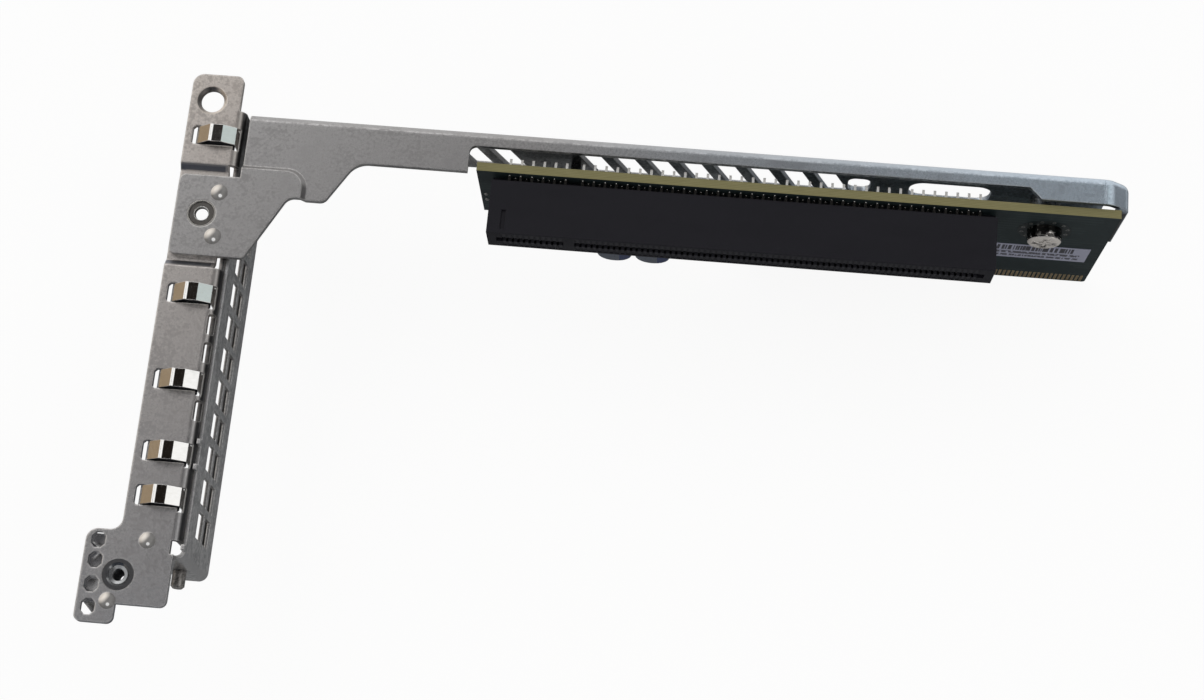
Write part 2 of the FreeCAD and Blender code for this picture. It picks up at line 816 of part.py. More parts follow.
def arm_bracket():
    """Folded arm: top flange with a raised tab at its left end, slotted back wall and short end wall."""
    body = new_body("arm_bracket")
    plan = [
        ("arm_left", "flat_back"),
        ("arm_left", "tab_far"),
        ("tab_left", "tab_far", "corner_small"),
        ("tab_left", "tab_near", "corner_small"),
        ("arm_left + tab_toe", "tab_near", "corner_small"),
        ("arm_left + lobe_left", "wall_back - lobe_depth", "corner_large"),
        ("arm_left + lobe_tip", "wall_back - lobe_depth", "lobe_round"),
        ("arm_left + lobe_root", "wall_back - left_depth", "root_round"),
        ("board_left - strip_start", "wall_back - left_depth"),
        ("board_left - strip_start", "strip_near", "corner_small"),
        ("board_right - wide_start - wide_slope", "strip_near"),
        ("board_right - wide_start", "wide_near"),
        ("flat_right", "wide_near"),
        ("flat_right", "flat_back - sheet / 2"),
        ("wall_right", "flat_back"),
    ]
    add(body, "arm_plan", "Z", [plan], "arm_bottom", "tab_top")

    # The tab is raised by one sheet: the flange is cut down around it, and the tab hollowed below.
    right = "arm_left + joggle_reach"
    far = "wall_back - joggle_depth"
    lowered = [
        (f"tab_left - {OVERCUT}", far),
        (right, far, "joggle_round"),
        (right, f"tab_near - {OVERCUT}"),
        (f"end_outer + {OVERCUT}", f"tab_near - {OVERCUT}"),
        (f"end_outer + {OVERCUT}", f"wall_back + {OVERCUT}"),
        (f"tab_left - {OVERCUT}", f"wall_back + {OVERCUT}"),
    ]
    slope = "atan(joggle_run / sheet)"
    cut(body, "arm_lowered", "Z", [lowered], "arm_top", "tab_top", taper=f"-1 * {slope}")
    hollow = [
        (f"tab_left - {OVERCUT} - joggle_run", f"tab_near - {OVERCUT} - joggle_run"),
        (f"{right} + joggle_run", f"tab_near - {OVERCUT} - joggle_run"),
        (f"{right} + joggle_run", f"{far} + joggle_run", "joggle_round + joggle_run"),
        (f"tab_left - {OVERCUT} - joggle_run", f"{far} + joggle_run"),
    ]
    cut(body, "tab_hollow", "Z", [hollow], "arm_bottom", "arm_top", taper=f"-1 * {slope}", upward=True)

    wall = fold_profile("flat_back", "wall_back", "arm_top", "wall_bottom")
    add(body, "arm_wall", "X", [wall], "arm_left", "wall_right")
    end = fold_profile("flat_right", "end_outer", "arm_top", "arm_top - end_height")
    add(body, "arm_end", "Y", [end], "wide_near", "flat_back - sheet / 2")

    # Leaning slits, an oval hole and a long oval window in the wall
    low = "arm_top - slit_drop - slit_height"
    high = "arm_top - slit_drop"
    for name, start, count in (
        ("slits", "slit_start", "slit_count"),
        ("pair", "pair_start", "pair_count"),
    ):
        left = f"board_left + {start}"
        slit = [
            (f"{left} + slit_lean", low),
            (f"{left} + slit_lean + slit_width", low),
            (f"{left} + slit_width", high),
            (left, high),
        ]
        first = cut(body, name + "_first", "Y", [slit], "wall_front", "wall_back")
        repeat(body, name, first, "X", count, "slit_pitch")
    for name in ("oval", "window"):
        height = f"{name}_height"
        shape = rectangle(
            f"board_left + {name}_place - {name}_length / 2",
            f"board_left + {name}_place + {name}_length / 2",
            f"arm_top - {name}_drop - {height} / 2",
            f"arm_top - {name}_drop + {height} / 2",
            f"{height} / 2.1",
        )
        cut(body, "wall_" + name, "Y", [shape], "wall_front", "wall_back")

    # The rivet's seat and two locating domes on the tab
    seat = [("rivet_x", "rivet_y", "rivet_width")]
    cut(body, "rivet_seat", "Z", seat, "arm_top", "tab_top")
    for number, way in enumerate((1, -1), start=1):
        add_dome(body, f"tab_dome_{number}", "rivet_x + dome_inset", f"rivet_y + {way} * dome_reach")
    return body


def rear_plan():
    """Outline of the rear bracket's flange: ear at the far end, foot at the near end."""
    return [
        ("flange_left", "ear_end", "corner_large"),
        ("flange_left", "foot_far", "corner_large"),
        ("foot_left", "foot_far", "corner_large"),
        ("foot_left", "foot_near", "corner_small"),
        ("heel_left", "foot_near", "corner_small"),
        ("heel_left", "heel_near"),
        ("foot_right", "heel_near", "corner_small"),
        ("foot_right", "foot_shoulder"),
        ("rear_flat", "foot_shoulder"),
        ("rear_flat", "bend_far"),
        ("ear_right", "bend_far"),
        ("ear_right", "ear_end", "corner_small"),
    ]


def rear_bracket():
    """Folded rear bracket: joggled top flange with spring clip slots, and a wall with a card port."""
    body = new_body("rear_bracket")
    joggled = [
        ("foot_near", "flange_bottom"),
        ("step_near", "flange_bottom"),
        ("pad_near", "arm_bottom"),
        ("pad_far", "arm_bottom"),
        ("step_far", "flange_bottom"),
        ("ear_end", "flange_bottom"),
        ("ear_end", "tab_top"),
        ("step_far", "tab_top"),
        ("pad_far", "arm_top"),
        ("pad_near", "arm_top"),
        ("step_near", "tab_top"),
        ("foot_near", "tab_top"),
    ]
    add(body, "flange", "X", [joggled], "foot_left", "foot_right")
    around = rectangle(
        f"foot_left - {OVERCUT}",
        f"rear_face + {OVERCUT}",
        f"foot_near - {OVERCUT}",
        f"ear_end + {OVERCUT}",
    )
    cut(body, "flange_trim", "Z", [around, rear_plan()], "arm_bottom", "tab_top")

    fold = fold_profile("rear_flat", "rear_face", "tab_top", "rear_bottom")
    add(body, "wall_far", "Y", [fold], "step_far", "bend_far")
    add(body, "wall_near", "Y", [fold], "bend_near", "step_near")
    middle = rectangle("rear_inner", "rear_face", "rear_bottom", "tab_top - bend_outer")
    add(body, "wall_middle", "Y", [middle], "step_near", "step_far")
    port = rectangle(
        "wall_back - port_stop",
        "wall_back - port_start",
        "rear_bottom + port_sill",
        "tab_top - port_drop",
    )
    cut(body, "card_port", "X", [port], "rear_inner", "rear_face")

    under = "tab_top - bend_outer"
    slots = []
    for name in CLIPS:
        middle = f"wall_back - {name}"
        slots.append(clipped(
            "clip_middle - clip_slot_length / 2",
            "clip_middle + clip_slot_length / 2",
            f"{middle} - clip_slot_width / 2",
            f"{middle} + clip_slot_width / 2",
            "clip_slot_clip",
        ))
    for name in HOOK_SLOTS:
        middle = f"wall_back - {name}"
        slots.append(clipped(
            "rear_face - hook_slot_inset - hook_slot_width",
            "rear_face - hook_slot_inset",
            f"{middle} - hook_slot_length / 2",
            f"{middle} + hook_slot_length / 2",
            "hook_slot_width / 4",
        ))
    cut(body, "flange_slots", "Z", slots, under, "tab_top")
    ends = []
    for name in CLIPS:
        middle = f"wall_back - {name} - clip_end_shift"
        ends.append(rectangle(
            "clip_middle + clip_slot_length / 2 - clip_end_width",
            "clip_middle + clip_slot_length / 2",
            f"{middle} - clip_end_length / 2",
            f"{middle} + clip_end_length / 2",
        ))
    cut(body, "clip_slot_ends", "Z", ends, under, "tab_top")
    holes = [
        ("rivet_x", "rivet_y", "rivet_width"),
        ("nut_x", "nut_y", "nut_width"),
        ("rear_face - ear_hole_inset", "wall_back + ear_hole_place", "ear_hole"),
    ]
    for name in CODE_HOLES:
        middle = f"foot_far - {name}"
        holes.append(clipped(
            "foot_left + code_hole_inset - code_hole_width / 2",
            "foot_left + code_hole_inset + code_hole_width / 2",
            f"{middle} - code_hole_length / 2",
            f"{middle} + code_hole_length / 2",
            "code_hole_clip",
        ))
    cut(body, "flange_holes", "Z", holes, "arm_bottom", "tab_top")
    bevel_edges(body, "ear_countersink", "ear_cone", circle_at("tab_top", "ear_hole"))
    for number in (1, 2):
        x = f"foot_left + foot_dome_{number}_inset"
        y = f"foot_far - foot_dome_{number}_place"
        add_dome(body, f"foot_dome_{number}", x, y)
    return body


def vent_panel():
    """Thin panel on the rear wall: two rows of windows, three lugs, and a flap folded round its end."""
    body = new_body("vent_panel")
    plan = [
        ("rear_face", "panel_far"),
        ("rear_face", "panel_near + panel_thick", "panel_bend"),
        ("rear_face - panel_flap", "panel_near + panel_thick"),
        ("rear_face - panel_flap", "panel_near"),
        ("panel_face", "panel_near", "panel_bend + panel_thick"),
        ("panel_face", "panel_far"),
    ]
    add(body, "panel", "Z", [plan], "rear_bottom", "panel_top")
    windows = []
    for row_number in (0, 1):
        high = f"vent_top - {row_number} * (vent_height + vent_bar)"
        windows.append(rectangle(
            "wall_back - vent_start - vent_length / 2",
            "wall_back - vent_start + vent_length / 2",
            f"{high} - vent_height",
            high,
        ))
    first = cut(body, "vent_first", "X", windows, "rear_face", "panel_face")
    repeat(body, "vents", first, "Y", "vent_count", "vent_pitch", backwards=True)
    lugs = []
    for name in LUGS:
        middle = f"wall_back - {name}"
        lugs.append(rectangle(
            f"{middle} - lug_width / 2",
            f"{middle} + lug_width / 2",
            "panel_top",
            "panel_top + lug_rise",
        ))
    add(body, "lugs", "X", lugs, "rear_face", "panel_face")
    return body


def spring_clip(name):
    """Sprung contact strip: a leg on the wall, a hump through the slot, and a free end in the slot."""
    body = new_body("spring_" + name)
    left = "clip_middle - clip_slot_length / 2"
    right = "rear_inner"
    low = "flange_bottom"
    crest = "tab_top + clip_rise"
    flat = f"{crest} - clip_flat_drop"
    shoulder = f"{crest} - clip_shoulder"
    outline = [
        (f"{left} + clip_ramp_start", f"{low} - clip_thick"),
        (f"{left} + clip_ramp_start + clip_thick", f"{low} - clip_thick"),
        (f"{left} + clip_ramp_stop + clip_thick / 2", f"{flat} - clip_thick"),
        (f"{left} + clip_flat_stop", f"{flat} - clip_thick"),
        (f"{right} - clip_thick", f"{shoulder} - clip_thick"),
        (f"{right} - clip_thick", "tab_top - clip_leg"),
        (right, "tab_top - clip_leg"),
        (right, shoulder),
        (f"{left} + clip_flat_stop", flat),
        (f"{left} + clip_flat_start", flat),
        (f"{left} + clip_ridge", crest),
        (f"{left} + clip_ramp_stop", f"{crest} - clip_lip"),
        (f"{left} + clip_ramp_start", low),
    ]
    add(body, name + "_strip", "Y", [outline], "-clip_width / 2", "clip_width / 2")
    bind(body, "Placement.Base.y", f"wall_back - {name}")
    return body


def joint_rivet():
    """Hollow rivet with a sunk ring, which holds the arm's tab on the rear bracket's recessed pad."""
    profile = [
        ("rivet_bore / 2", "-sheet"),
        ("rivet_width / 2", "-sheet"),
        ("rivet_width / 2", "sheet"),
        ("rivet_width / 2 - rivet_rim", "sheet"),
        ("rivet_width / 2 - 2 * rivet_rim", "sheet - rivet_sink"),
        ("rivet_bore / 2", "sheet - rivet_sink"),
    ]
    return turned("joint_rivet", profile, ("rivet_x", "rivet_y", "arm_top"))


def captive_nut():
    """Long clinch nut in the foot, threaded through."""
    bore = "nut_thread / 2"
    profile = [
        (bore, "-nut_length"),
        ("nut_width / 2", "-nut_length"),
        ("nut_width / 2", "nut_proud"),
        (f"{bore} + nut_cone", "nut_proud"),
        (bore, "nut_proud - nut_cone"),
    ]
    return turned("captive_nut", profile, ("nut_x", "nut_y", "tab_top"))


def backing_plate():
    """Second sheet under the foot, seen through its holes."""
    body = new_body("backing_plate")
    left = "foot_left + backing_edge"
    near = "foot_near + backing_edge"
    heel = "heel_near + backing_edge"
    plan = [
        (left, "foot_far - backing_edge"),
        (left, f"{near} + backing_cut"),
        (f"{left} + backing_cut", near),
        ("heel_left - backing_edge", near),
        ("heel_left - backing_edge", heel),
        ("foot_right - backing_edge", heel),
        ("foot_right - backing_edge", "foot_shoulder - backing_edge"),
        ("rear_flat - backing_edge", "foot_far - backing_edge"),
    ]
    add(body, "backing", "Z", [plan], "flange_bottom - backing_thick", "flange_bottom")
    hole = [("nut_x", "nut_y", "nut_width")]
    cut(body, "backing_hole", "Z", hole, "flange_bottom - backing_thick", "flange_bottom")
    return body


def panel_stud():
    """Short stud on the vent panel's end flap."""
    profile = [
        ("0", "0"),
        ("stud_width / 2", "0"),
        ("stud_width / 2", "stud_length - stud_edge"),
        ("stud_width / 2 - stud_edge", "stud_length"),
        ("0", "stud_length"),
    ]
    place = ("rear_face - stud_inset", "panel_near", "panel_top - stud_drop")
    return turned("panel_stud", profile, place, True)


parts = [
    riser_board(),
    finger_row("fingers_front", "board_front", "board_front - finger_thick"),
    finger_row("fingers_back", "board_back", "board_back + finger_thick"),
    slot_housing(),
    slot_contacts("contacts_upper", 1),
    slot_contacts("contacts_lower", -1),
    slot_tails("tails_upper", 1),
    slot_tails("tails_lower", -1),
    board_screw(),
    standoff(),
    locating_pin(),
    *capacitor(1),
    *capacitor(2),
    board_label(),
    arm_bracket(),
    rear_bracket(),
    vent_panel(),
    *[spring_clip(name) for name in CLIPS],
    joint_rivet(),
    captive_nut(),
    backing_plate(),
    panel_stud(),
]
doc.recompute()

for item in doc.Objects:
    faults = [state for state in item.State if state in ("Invalid", "Error")]
    if faults:
        raise RuntimeError(f"{item.Label}: {faults}")
for part in parts:
    if part.Shape.isNull() or not part.Shape.isValid():
        raise RuntimeError(part.Label + " has no valid shape")

os.makedirs("parts", exist_ok=True)
for part in parts:
    part.Shape.exportStep(f"parts/{part.Label}.step")
    print(part.Label, len(part.Shape.Solids), "solids", round(part.Shape.Volume, 2), "mm3")
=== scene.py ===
import math

import bmesh
import bpy
from mathutils import Euler, Matrix, Vector


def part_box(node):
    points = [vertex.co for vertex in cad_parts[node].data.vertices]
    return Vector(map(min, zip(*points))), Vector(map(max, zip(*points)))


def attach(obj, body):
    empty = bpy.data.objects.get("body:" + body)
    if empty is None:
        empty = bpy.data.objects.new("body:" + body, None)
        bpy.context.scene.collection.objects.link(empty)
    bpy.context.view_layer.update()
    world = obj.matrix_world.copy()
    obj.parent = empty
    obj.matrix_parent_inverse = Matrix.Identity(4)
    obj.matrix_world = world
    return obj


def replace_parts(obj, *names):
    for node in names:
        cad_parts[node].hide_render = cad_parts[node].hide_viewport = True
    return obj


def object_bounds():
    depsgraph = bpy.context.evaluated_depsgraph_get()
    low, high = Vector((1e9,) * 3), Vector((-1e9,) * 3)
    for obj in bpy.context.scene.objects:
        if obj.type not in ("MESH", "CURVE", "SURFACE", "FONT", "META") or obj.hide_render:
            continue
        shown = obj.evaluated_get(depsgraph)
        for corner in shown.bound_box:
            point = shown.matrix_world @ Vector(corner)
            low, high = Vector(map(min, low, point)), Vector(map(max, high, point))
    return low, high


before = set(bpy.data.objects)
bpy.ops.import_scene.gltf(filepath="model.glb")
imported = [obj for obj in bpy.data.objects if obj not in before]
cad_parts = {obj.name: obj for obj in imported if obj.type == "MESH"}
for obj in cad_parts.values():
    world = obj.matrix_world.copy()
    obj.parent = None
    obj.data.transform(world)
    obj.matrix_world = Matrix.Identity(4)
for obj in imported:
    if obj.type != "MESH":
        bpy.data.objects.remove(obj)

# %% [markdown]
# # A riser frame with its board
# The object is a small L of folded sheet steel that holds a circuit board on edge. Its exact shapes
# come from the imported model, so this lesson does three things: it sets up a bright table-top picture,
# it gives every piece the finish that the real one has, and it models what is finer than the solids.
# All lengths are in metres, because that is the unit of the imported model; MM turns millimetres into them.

MM = 0.001


def mm(*lengths):
    """Lengths in millimetres, for the printed lines."""
    return [round(length / MM, 2) for length in lengths]


def span(node):
    """The two corners of a node's box, and its middle."""
    low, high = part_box(node)
    return low, high, (low + high) / 2


cad_low, cad_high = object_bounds()
print("solid model, mm:", mm(*(Vector(cad_high) - Vector(cad_low))), "nodes:", len(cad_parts))

# %% [markdown]
# ## The camera
# The picture looks down on the frame from the front at a steep angle, through a moderately long lens.
# Such a camera can be placed by eye, or from a few known points of the object. Here the place and the
# two directions are written down once, and the third axis follows from them, so that the camera is
# square whatever is typed.

# %% Camera from a place, a direction and an upright
CAMERA_PLACE = Vector((-39.20, -139.59, 376.76)) * MM
LOOK = Vector((-0.046278, 0.298048, -0.953428)).normalized()
PICTURE_RIGHT = Vector((0.995806, 0.089178, -0.020457))
IMAGE_WIDTH_PX = 1204
FOCAL_PX = 2100
SENSOR_WIDTH = 36.0

upright = PICTURE_RIGHT.cross(LOOK).normalized()
across = LOOK.cross(upright)
camera_data = bpy.data.cameras.new("camera")
camera_data.sensor_width = SENSOR_WIDTH
camera_data.lens = FOCAL_PX / IMAGE_WIDTH_PX * SENSOR_WIDTH
camera_data.clip_start = 10 * MM
camera = bpy.data.objects.new("camera", camera_data)
camera_turn = Matrix((across, upright, -LOOK)).transposed().to_4x4()
camera.matrix_world = Matrix.Translation(CAMERA_PLACE) @ camera_turn
bpy.context.scene.collection.objects.link(camera)
bpy.context.scene.camera = camera
bpy.context.scene.view_settings.view_transform = "Standard"
print("lens, mm:", round(camera_data.lens, 1))

# %% [markdown]
# ## Light and table
# A product picture of bright metal needs a large even light, something white for the metal to mirror,
# and a few darker zones, because metal that mirrors only white loses its form. The world gives the even
# light and the white. Cards that only mirrors can see give the zones. One hangs high over the table, so
# that level faces go grey while slopes stay bright, and a black strip and a pale sky hang beside it for
# the clips. One lies on the table, two low ones stand at the sides, and a grey one, a blue one and one
# above the lens are on the camera's side, so that upright faces and bends go dark. The table itself is
# white, and keeps a faint shadow.

# %% Helpers: links, sums and mixes in a node tree
def link(tree, source, target):
    tree.links.new(source, target)


def math_node(tree, operation, *items):
    """One step of arithmetic on numbers and sockets."""
    node = tree.nodes.new("ShaderNodeMath")
    node.operation = operation
    for socket, item in zip(node.inputs, items):
        if isinstance(item, (int, float)):
            socket.default_value = item
        else:
            link(tree, item, socket)
    return node.outputs[0]


def mix_shaders(tree, share, first, second, out_kind):
    """Send a mix of two shaders to a new output."""
    mix = tree.nodes.new("ShaderNodeMixShader")
    for source, socket in zip((share, first.outputs[0], second.outputs[0]), mix.inputs):
        link(tree, source, socket)
    link(tree, mix.outputs[0], tree.nodes.new(out_kind).inputs["Surface"])


def white_rays(tree):
    """1 for the rays that should meet plain white: those of the camera, of mirrors and of glass."""
    rays = tree.nodes.new("ShaderNodeLightPath").outputs
    share = math_node(tree, "MAXIMUM", rays["Is Camera Ray"], rays["Is Glossy Ray"])
    return math_node(tree, "MAXIMUM", share, rays["Is Transmission Ray"])


# %% World: even light, white for the camera and for mirrors
WORLD_LEVEL = 0.74
WORLD_TONE = (1.0, 0.99, 0.975)

world = bpy.data.worlds.new("white_room")
bpy.context.scene.world = world
world.use_nodes = True
room = world.node_tree
room.nodes.clear()
seen = room.nodes.new("ShaderNodeBackground")
seen.inputs["Color"].default_value = (1, 1, 1, 1)
soft = room.nodes.new("ShaderNodeBackground")
soft.inputs["Color"].default_value = (*WORLD_TONE, 1)
soft.inputs["Strength"].default_value = WORLD_LEVEL
mix_shaders(room, white_rays(room), soft, seen, "ShaderNodeOutputWorld")
print("world level:", WORLD_LEVEL)

# %% Table
TABLE_HALF = 1500
TABLE_DROP = 0.2 * MM
TABLE_WHITE = (0.97, 0.97, 0.97)
TABLE_SEEN = 0.91
LEVEL = (0, 0, 0)


def flat_sheet(name, middle, half, turn, colour, seen_share):
    """A matt rectangle, in millimetres. Camera and mirrors see a share of plain white in it."""
    bm = bmesh.new()
    bmesh.ops.create_grid(bm, x_segments=1, y_segments=1, size=MM)
    bmesh.ops.scale(bm, vec=(*half, 1.0), verts=bm.verts)
    lay = Matrix.Translation(Vector(middle) * MM) @ Euler(turn).to_matrix().to_4x4()
    bmesh.ops.transform(bm, matrix=lay, verts=bm.verts)
    mesh = bpy.data.meshes.new(name)
    bm.to_mesh(mesh)
    bm.free()
    sheet = bpy.data.objects.new(name, mesh)
    bpy.context.scene.collection.objects.link(sheet)
    paint = bpy.data.materials.new(name + "_paint")
    paint.use_nodes = True
    tree = paint.node_tree
    tree.nodes.clear()
    matt = tree.nodes.new("ShaderNodeBsdfDiffuse")
    matt.inputs["Color"].default_value = (*colour, 1)
    white = tree.nodes.new("ShaderNodeEmission")
    share = math_node(tree, "MULTIPLY", white_rays(tree), seen_share)
    mix_shaders(tree, share, matt, white, "ShaderNodeOutputMaterial")
    mesh.materials.append(paint)
    return sheet


table_level = (cad_low[2] - TABLE_DROP) / MM
flat_sheet("table", (0, 0, table_level), (TABLE_HALF, TABLE_HALF), LEVEL, TABLE_WHITE, TABLE_SEEN)
print("table at, mm:", round(table_level, 2))

# %% Cards for the mirrors: middle and half size in millimetres, turn, colour
UPRIGHT = (0, math.radians(90), 0)
FACING = (math.radians(90), 0, 0)
OVER_TABLE = 0.05
CARDS = {
    "card_above": ((-100, 240, 900), (430, 400), LEVEL, (0.11, 0.11, 0.12)),
    "card_below": ((0, -265, table_level + OVER_TABLE), (600, 310), LEVEL, (0.34, 0.35, 0.36)),
    "card_strip": ((-348, 240, 890), (60, 190), LEVEL, (0.015, 0.012, 0.010)),
    "card_left": ((-800, 0, 100), (150, 700), UPRIGHT, (0.385, 0.295, 0.20)),
    "card_lens": ((130, -340, 900), (200, 170), LEVEL, (0.20, 0.20, 0.20)),
    "card_right": ((800, 0, 260), (260, 700), UPRIGHT, (0.07, 0.07, 0.08)),
    "card_sky": ((560, 460, 895), (240, 190), LEVEL, (0.70, 0.80, 0.81)),
    "card_blue": ((-560, -890, 800), (330, 800), FACING, (0.045, 0.065, 0.11)),
    "card_front": ((-100, -900, 540), (700, 520), FACING, (0.10, 0.115, 0.14)),
}
for name, (middle, half, turn, colour) in CARDS.items():
    card = flat_sheet(name, middle, half, turn, colour, 0.0)
    card.visible_camera = False
    card.visible_diffuse = False
    card.visible_shadow = False
print("cards:", len(CARDS))

# %% One soft lamp
LAMP_SIZE = (0.7, 0.5)
LAMP_PLACE = (-0.55, 0.60, 0.95)
LAMP_AIM = Vector((-0.05, -0.02, 0.0))
LAMP_WATTS = 1.6

lamp_data = bpy.data.lights.new("window", "AREA")
lamp_data.shape = "RECTANGLE"
lamp_data.size, lamp_data.size_y = LAMP_SIZE
lamp_data.energy = LAMP_WATTS
lamp = bpy.data.objects.new("window", lamp_data)
lamp.location = LAMP_PLACE
lamp.rotation_euler = (LAMP_AIM - lamp.location).to_track_quat("-Z", "Y").to_euler()
bpy.context.scene.collection.objects.link(lamp)
print("lamp, W:", LAMP_WATTS)

# %% [markdown]
# ## How the finishes are put together
# Each finish is a small tree of nodes that reads the object's own coordinates, so its grain has a true
# size in millimetres and stays put when the picture is taken from elsewhere. A few helpers keep the
# trees short: one opens a new finish, one adds a noise of a given grain size, one turns a value into a
# colour between two stops, and one turns a value into relief. Every edge is softened in shading by a
# bevel node, as real sheared or moulded edges are never knife sharp and catch a thin light line.

# %% Helpers: a new finish and its grain
def open_finish(name):
    """A new material, its tree, its shader and the object's own coordinates."""
    material = bpy.data.materials.new(name)
    material.use_nodes = True
    tree = material.node_tree
    where = tree.nodes.new("ShaderNodeTexCoord").outputs["Object"]
    return material, tree, tree.nodes["Principled BSDF"], where


def axes(tree, vector):
    """The parts of a vector, named X, Y and Z."""
    parts = tree.nodes.new("ShaderNodeSeparateXYZ")
    link(tree, vector, parts.inputs[0])
    return parts.outputs


def stretched(tree, where, stretch, place=(0, 0, 0)):
    """Coordinates that are scaled by axis, from a chosen middle."""
    mapping = tree.nodes.new("ShaderNodeMapping")
    mapping.inputs["Location"].default_value = [-p * s for p, s in zip(place, stretch)]
    mapping.inputs["Scale"].default_value = stretch
    link(tree, where, mapping.inputs["Vector"])
    return mapping.outputs["Vector"]


def grain(tree, where, size, detail=3.0, rough=0.55):
    """Cloudy noise whose lumps are about this size."""
    noise = tree.nodes.new("ShaderNodeTexNoise")
    noise.inputs["Scale"].default_value = 1.0 / size
    noise.inputs["Detail"].default_value = detail
    noise.inputs["Roughness"].default_value = rough
    link(tree, where, noise.inputs["Vector"])
    return noise.outputs["Fac"]


# %% Helpers for shares: products, sums and ranges
NOISE_SPAN = (0.3, 0.7)


def product(tree, first, *others):
    for other in others:
        first = math_node(tree, "MULTIPLY", first, other)
    return first


def weighted(tree, *pairs):
    """The sum of some values, each times its weight."""
    total = 0.0
    for value, weight in pairs:
        total = math_node(tree, "MULTIPLY_ADD", value, weight, total)
    return total


def above(tree, value, level):
    return math_node(tree, "GREATER_THAN", value, level)


def below(tree, value, level):
    return math_node(tree, "LESS_THAN", value, level)


def between(tree, value, low, high):
    """1 where a value lies between two numbers."""
    return product(tree, above(tree, value, low), below(tree, value, high))


def remap(tree, value, from_low, from_high, to_low=0.0, to_high=1.0):
    """A value taken from one range to another, and held inside it."""
    node = tree.nodes.new("ShaderNodeMapRange")
    names = ("From Min", "From Max", "To Min", "To Max")
    for name, number in zip(names, (from_low, from_high, to_low, to_high)):
        node.inputs[name].default_value = number
    link(tree, value, node.inputs["Value"])
    return node.outputs["Result"]


def spread(tree, noise, low=0.0, high=1.0):
    """Noise, which keeps near its middle, spread over a range."""
    return remap(tree, noise, *NOISE_SPAN, low, high)


# %% Helpers for colours
def times(colour, factor):
    return tuple(value * factor for value in colour)


def tint(tree, share, first, second):
    """A colour that goes from the first to the second as the share goes from 0 to 1."""
    node = tree.nodes.new("ShaderNodeMix")
    node.data_type = "RGBA"
    link(tree, share, node.inputs[0])
    colours = [socket for socket in node.inputs if socket.type == "RGBA"]
    for socket, item in zip(colours, (first, second)):
        if isinstance(item, tuple):
            socket.default_value = (*item, 1)
        else:
            link(tree, item, socket)
    return next(socket for socket in node.outputs if socket.type == "RGBA")


def coat(tree, shader, colour, rough, metal=0.0):
    """Colour, roughness and share of metal of a finish."""
    link(tree, colour, shader.inputs["Base Color"])
    link(tree, rough, shader.inputs["Roughness"])
    if isinstance(metal, float):
        shader.inputs["Metallic"].default_value = metal
    else:
        link(tree, metal, shader.inputs["Metallic"])


def dress(finish, *names):
    """Give a finish to nodes of the solid model."""
    for name in names:
        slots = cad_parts[name].data.materials
        slots.clear()
        slots.append(finish)


# %% Helpers for edges, sides and distances
BEVEL_SAMPLES = 6
LIGHT_SIDE = (-0.55, 0.45, 0.70)
LIT_SPAN = (0.55, 0.90)
UNLIT_SHARE = 0.30
EDGE_TURN = (0.95, 0.80)
FLAT_SPAN = (0.93, 0.995)
BEND_GRAIN = 0.2


def soft_normal(tree, radius):
    """The normal over edges that are softened by a small radius."""
    soft_edge = tree.nodes.new("ShaderNodeBevel")
    soft_edge.samples = BEVEL_SAMPLES
    soft_edge.inputs["Radius"].default_value = radius
    return soft_edge.outputs["Normal"]


def surface_normal(tree):
    return tree.nodes.new("ShaderNodeNewGeometry").outputs["Normal"]


def facing(tree, normal, direction):
    """How far a normal agrees with a direction: 1 where they are the same."""
    agree = tree.nodes.new("ShaderNodeVectorMath")
    agree.operation = "DOT_PRODUCT"
    link(tree, normal, agree.inputs[0])
    if isinstance(direction, tuple):
        agree.inputs[1].default_value = Vector(direction).normalized()
    else:
        link(tree, direction, agree.inputs[1])
    return agree.outputs["Value"]


def relief(tree, shader, height, strength, depth, edge):
    """Bump from a height, over softened edges."""
    bump = tree.nodes.new("ShaderNodeBump")
    bump.inputs["Strength"].default_value = strength
    bump.inputs["Distance"].default_value = depth
    link(tree, height, bump.inputs["Height"])
    link(tree, soft_normal(tree, edge), bump.inputs["Normal"])
    link(tree, bump.outputs["Normal"], shader.inputs["Normal"])


def worn_edge_and_highlight(tree, width):
    """1 along the edges of a sheet, where the softened normal leaves the plain one: bare edge, with a
    painted highlight strongest on the side towards the light.
    """
    soft = soft_normal(tree, width)
    edge = remap(tree, facing(tree, soft, surface_normal(tree)), *EDGE_TURN)
    # Painted highlight: edges that face the light get more of the bright colour.
    lit = remap(tree, facing(tree, soft, LIGHT_SIDE), *LIT_SPAN, UNLIT_SHARE, 1.0)
    return product(tree, edge, lit)


def flatness(tree):
    """1 on level and upright faces, less on bends, which the tool has polished and which show less grain.
    """
    parts = axes(tree, surface_normal(tree))
    x, y, z = (math_node(tree, "ABSOLUTE", parts[axis]) for axis in "XYZ")
    most = math_node(tree, "MAXIMUM", math_node(tree, "MAXIMUM", x, y), z)
    return remap(tree, most, *FLAT_SPAN, BEND_GRAIN, 1.0)


def from_axis(tree, where, middle):
    """The distance of each point from an upright line through a middle."""
    length = tree.nodes.new("ShaderNodeVectorMath")
    length.operation = "LENGTH"
    link(tree, stretched(tree, where, (1, 1, 0), middle), length.inputs[0])
    return length.outputs["Value"]
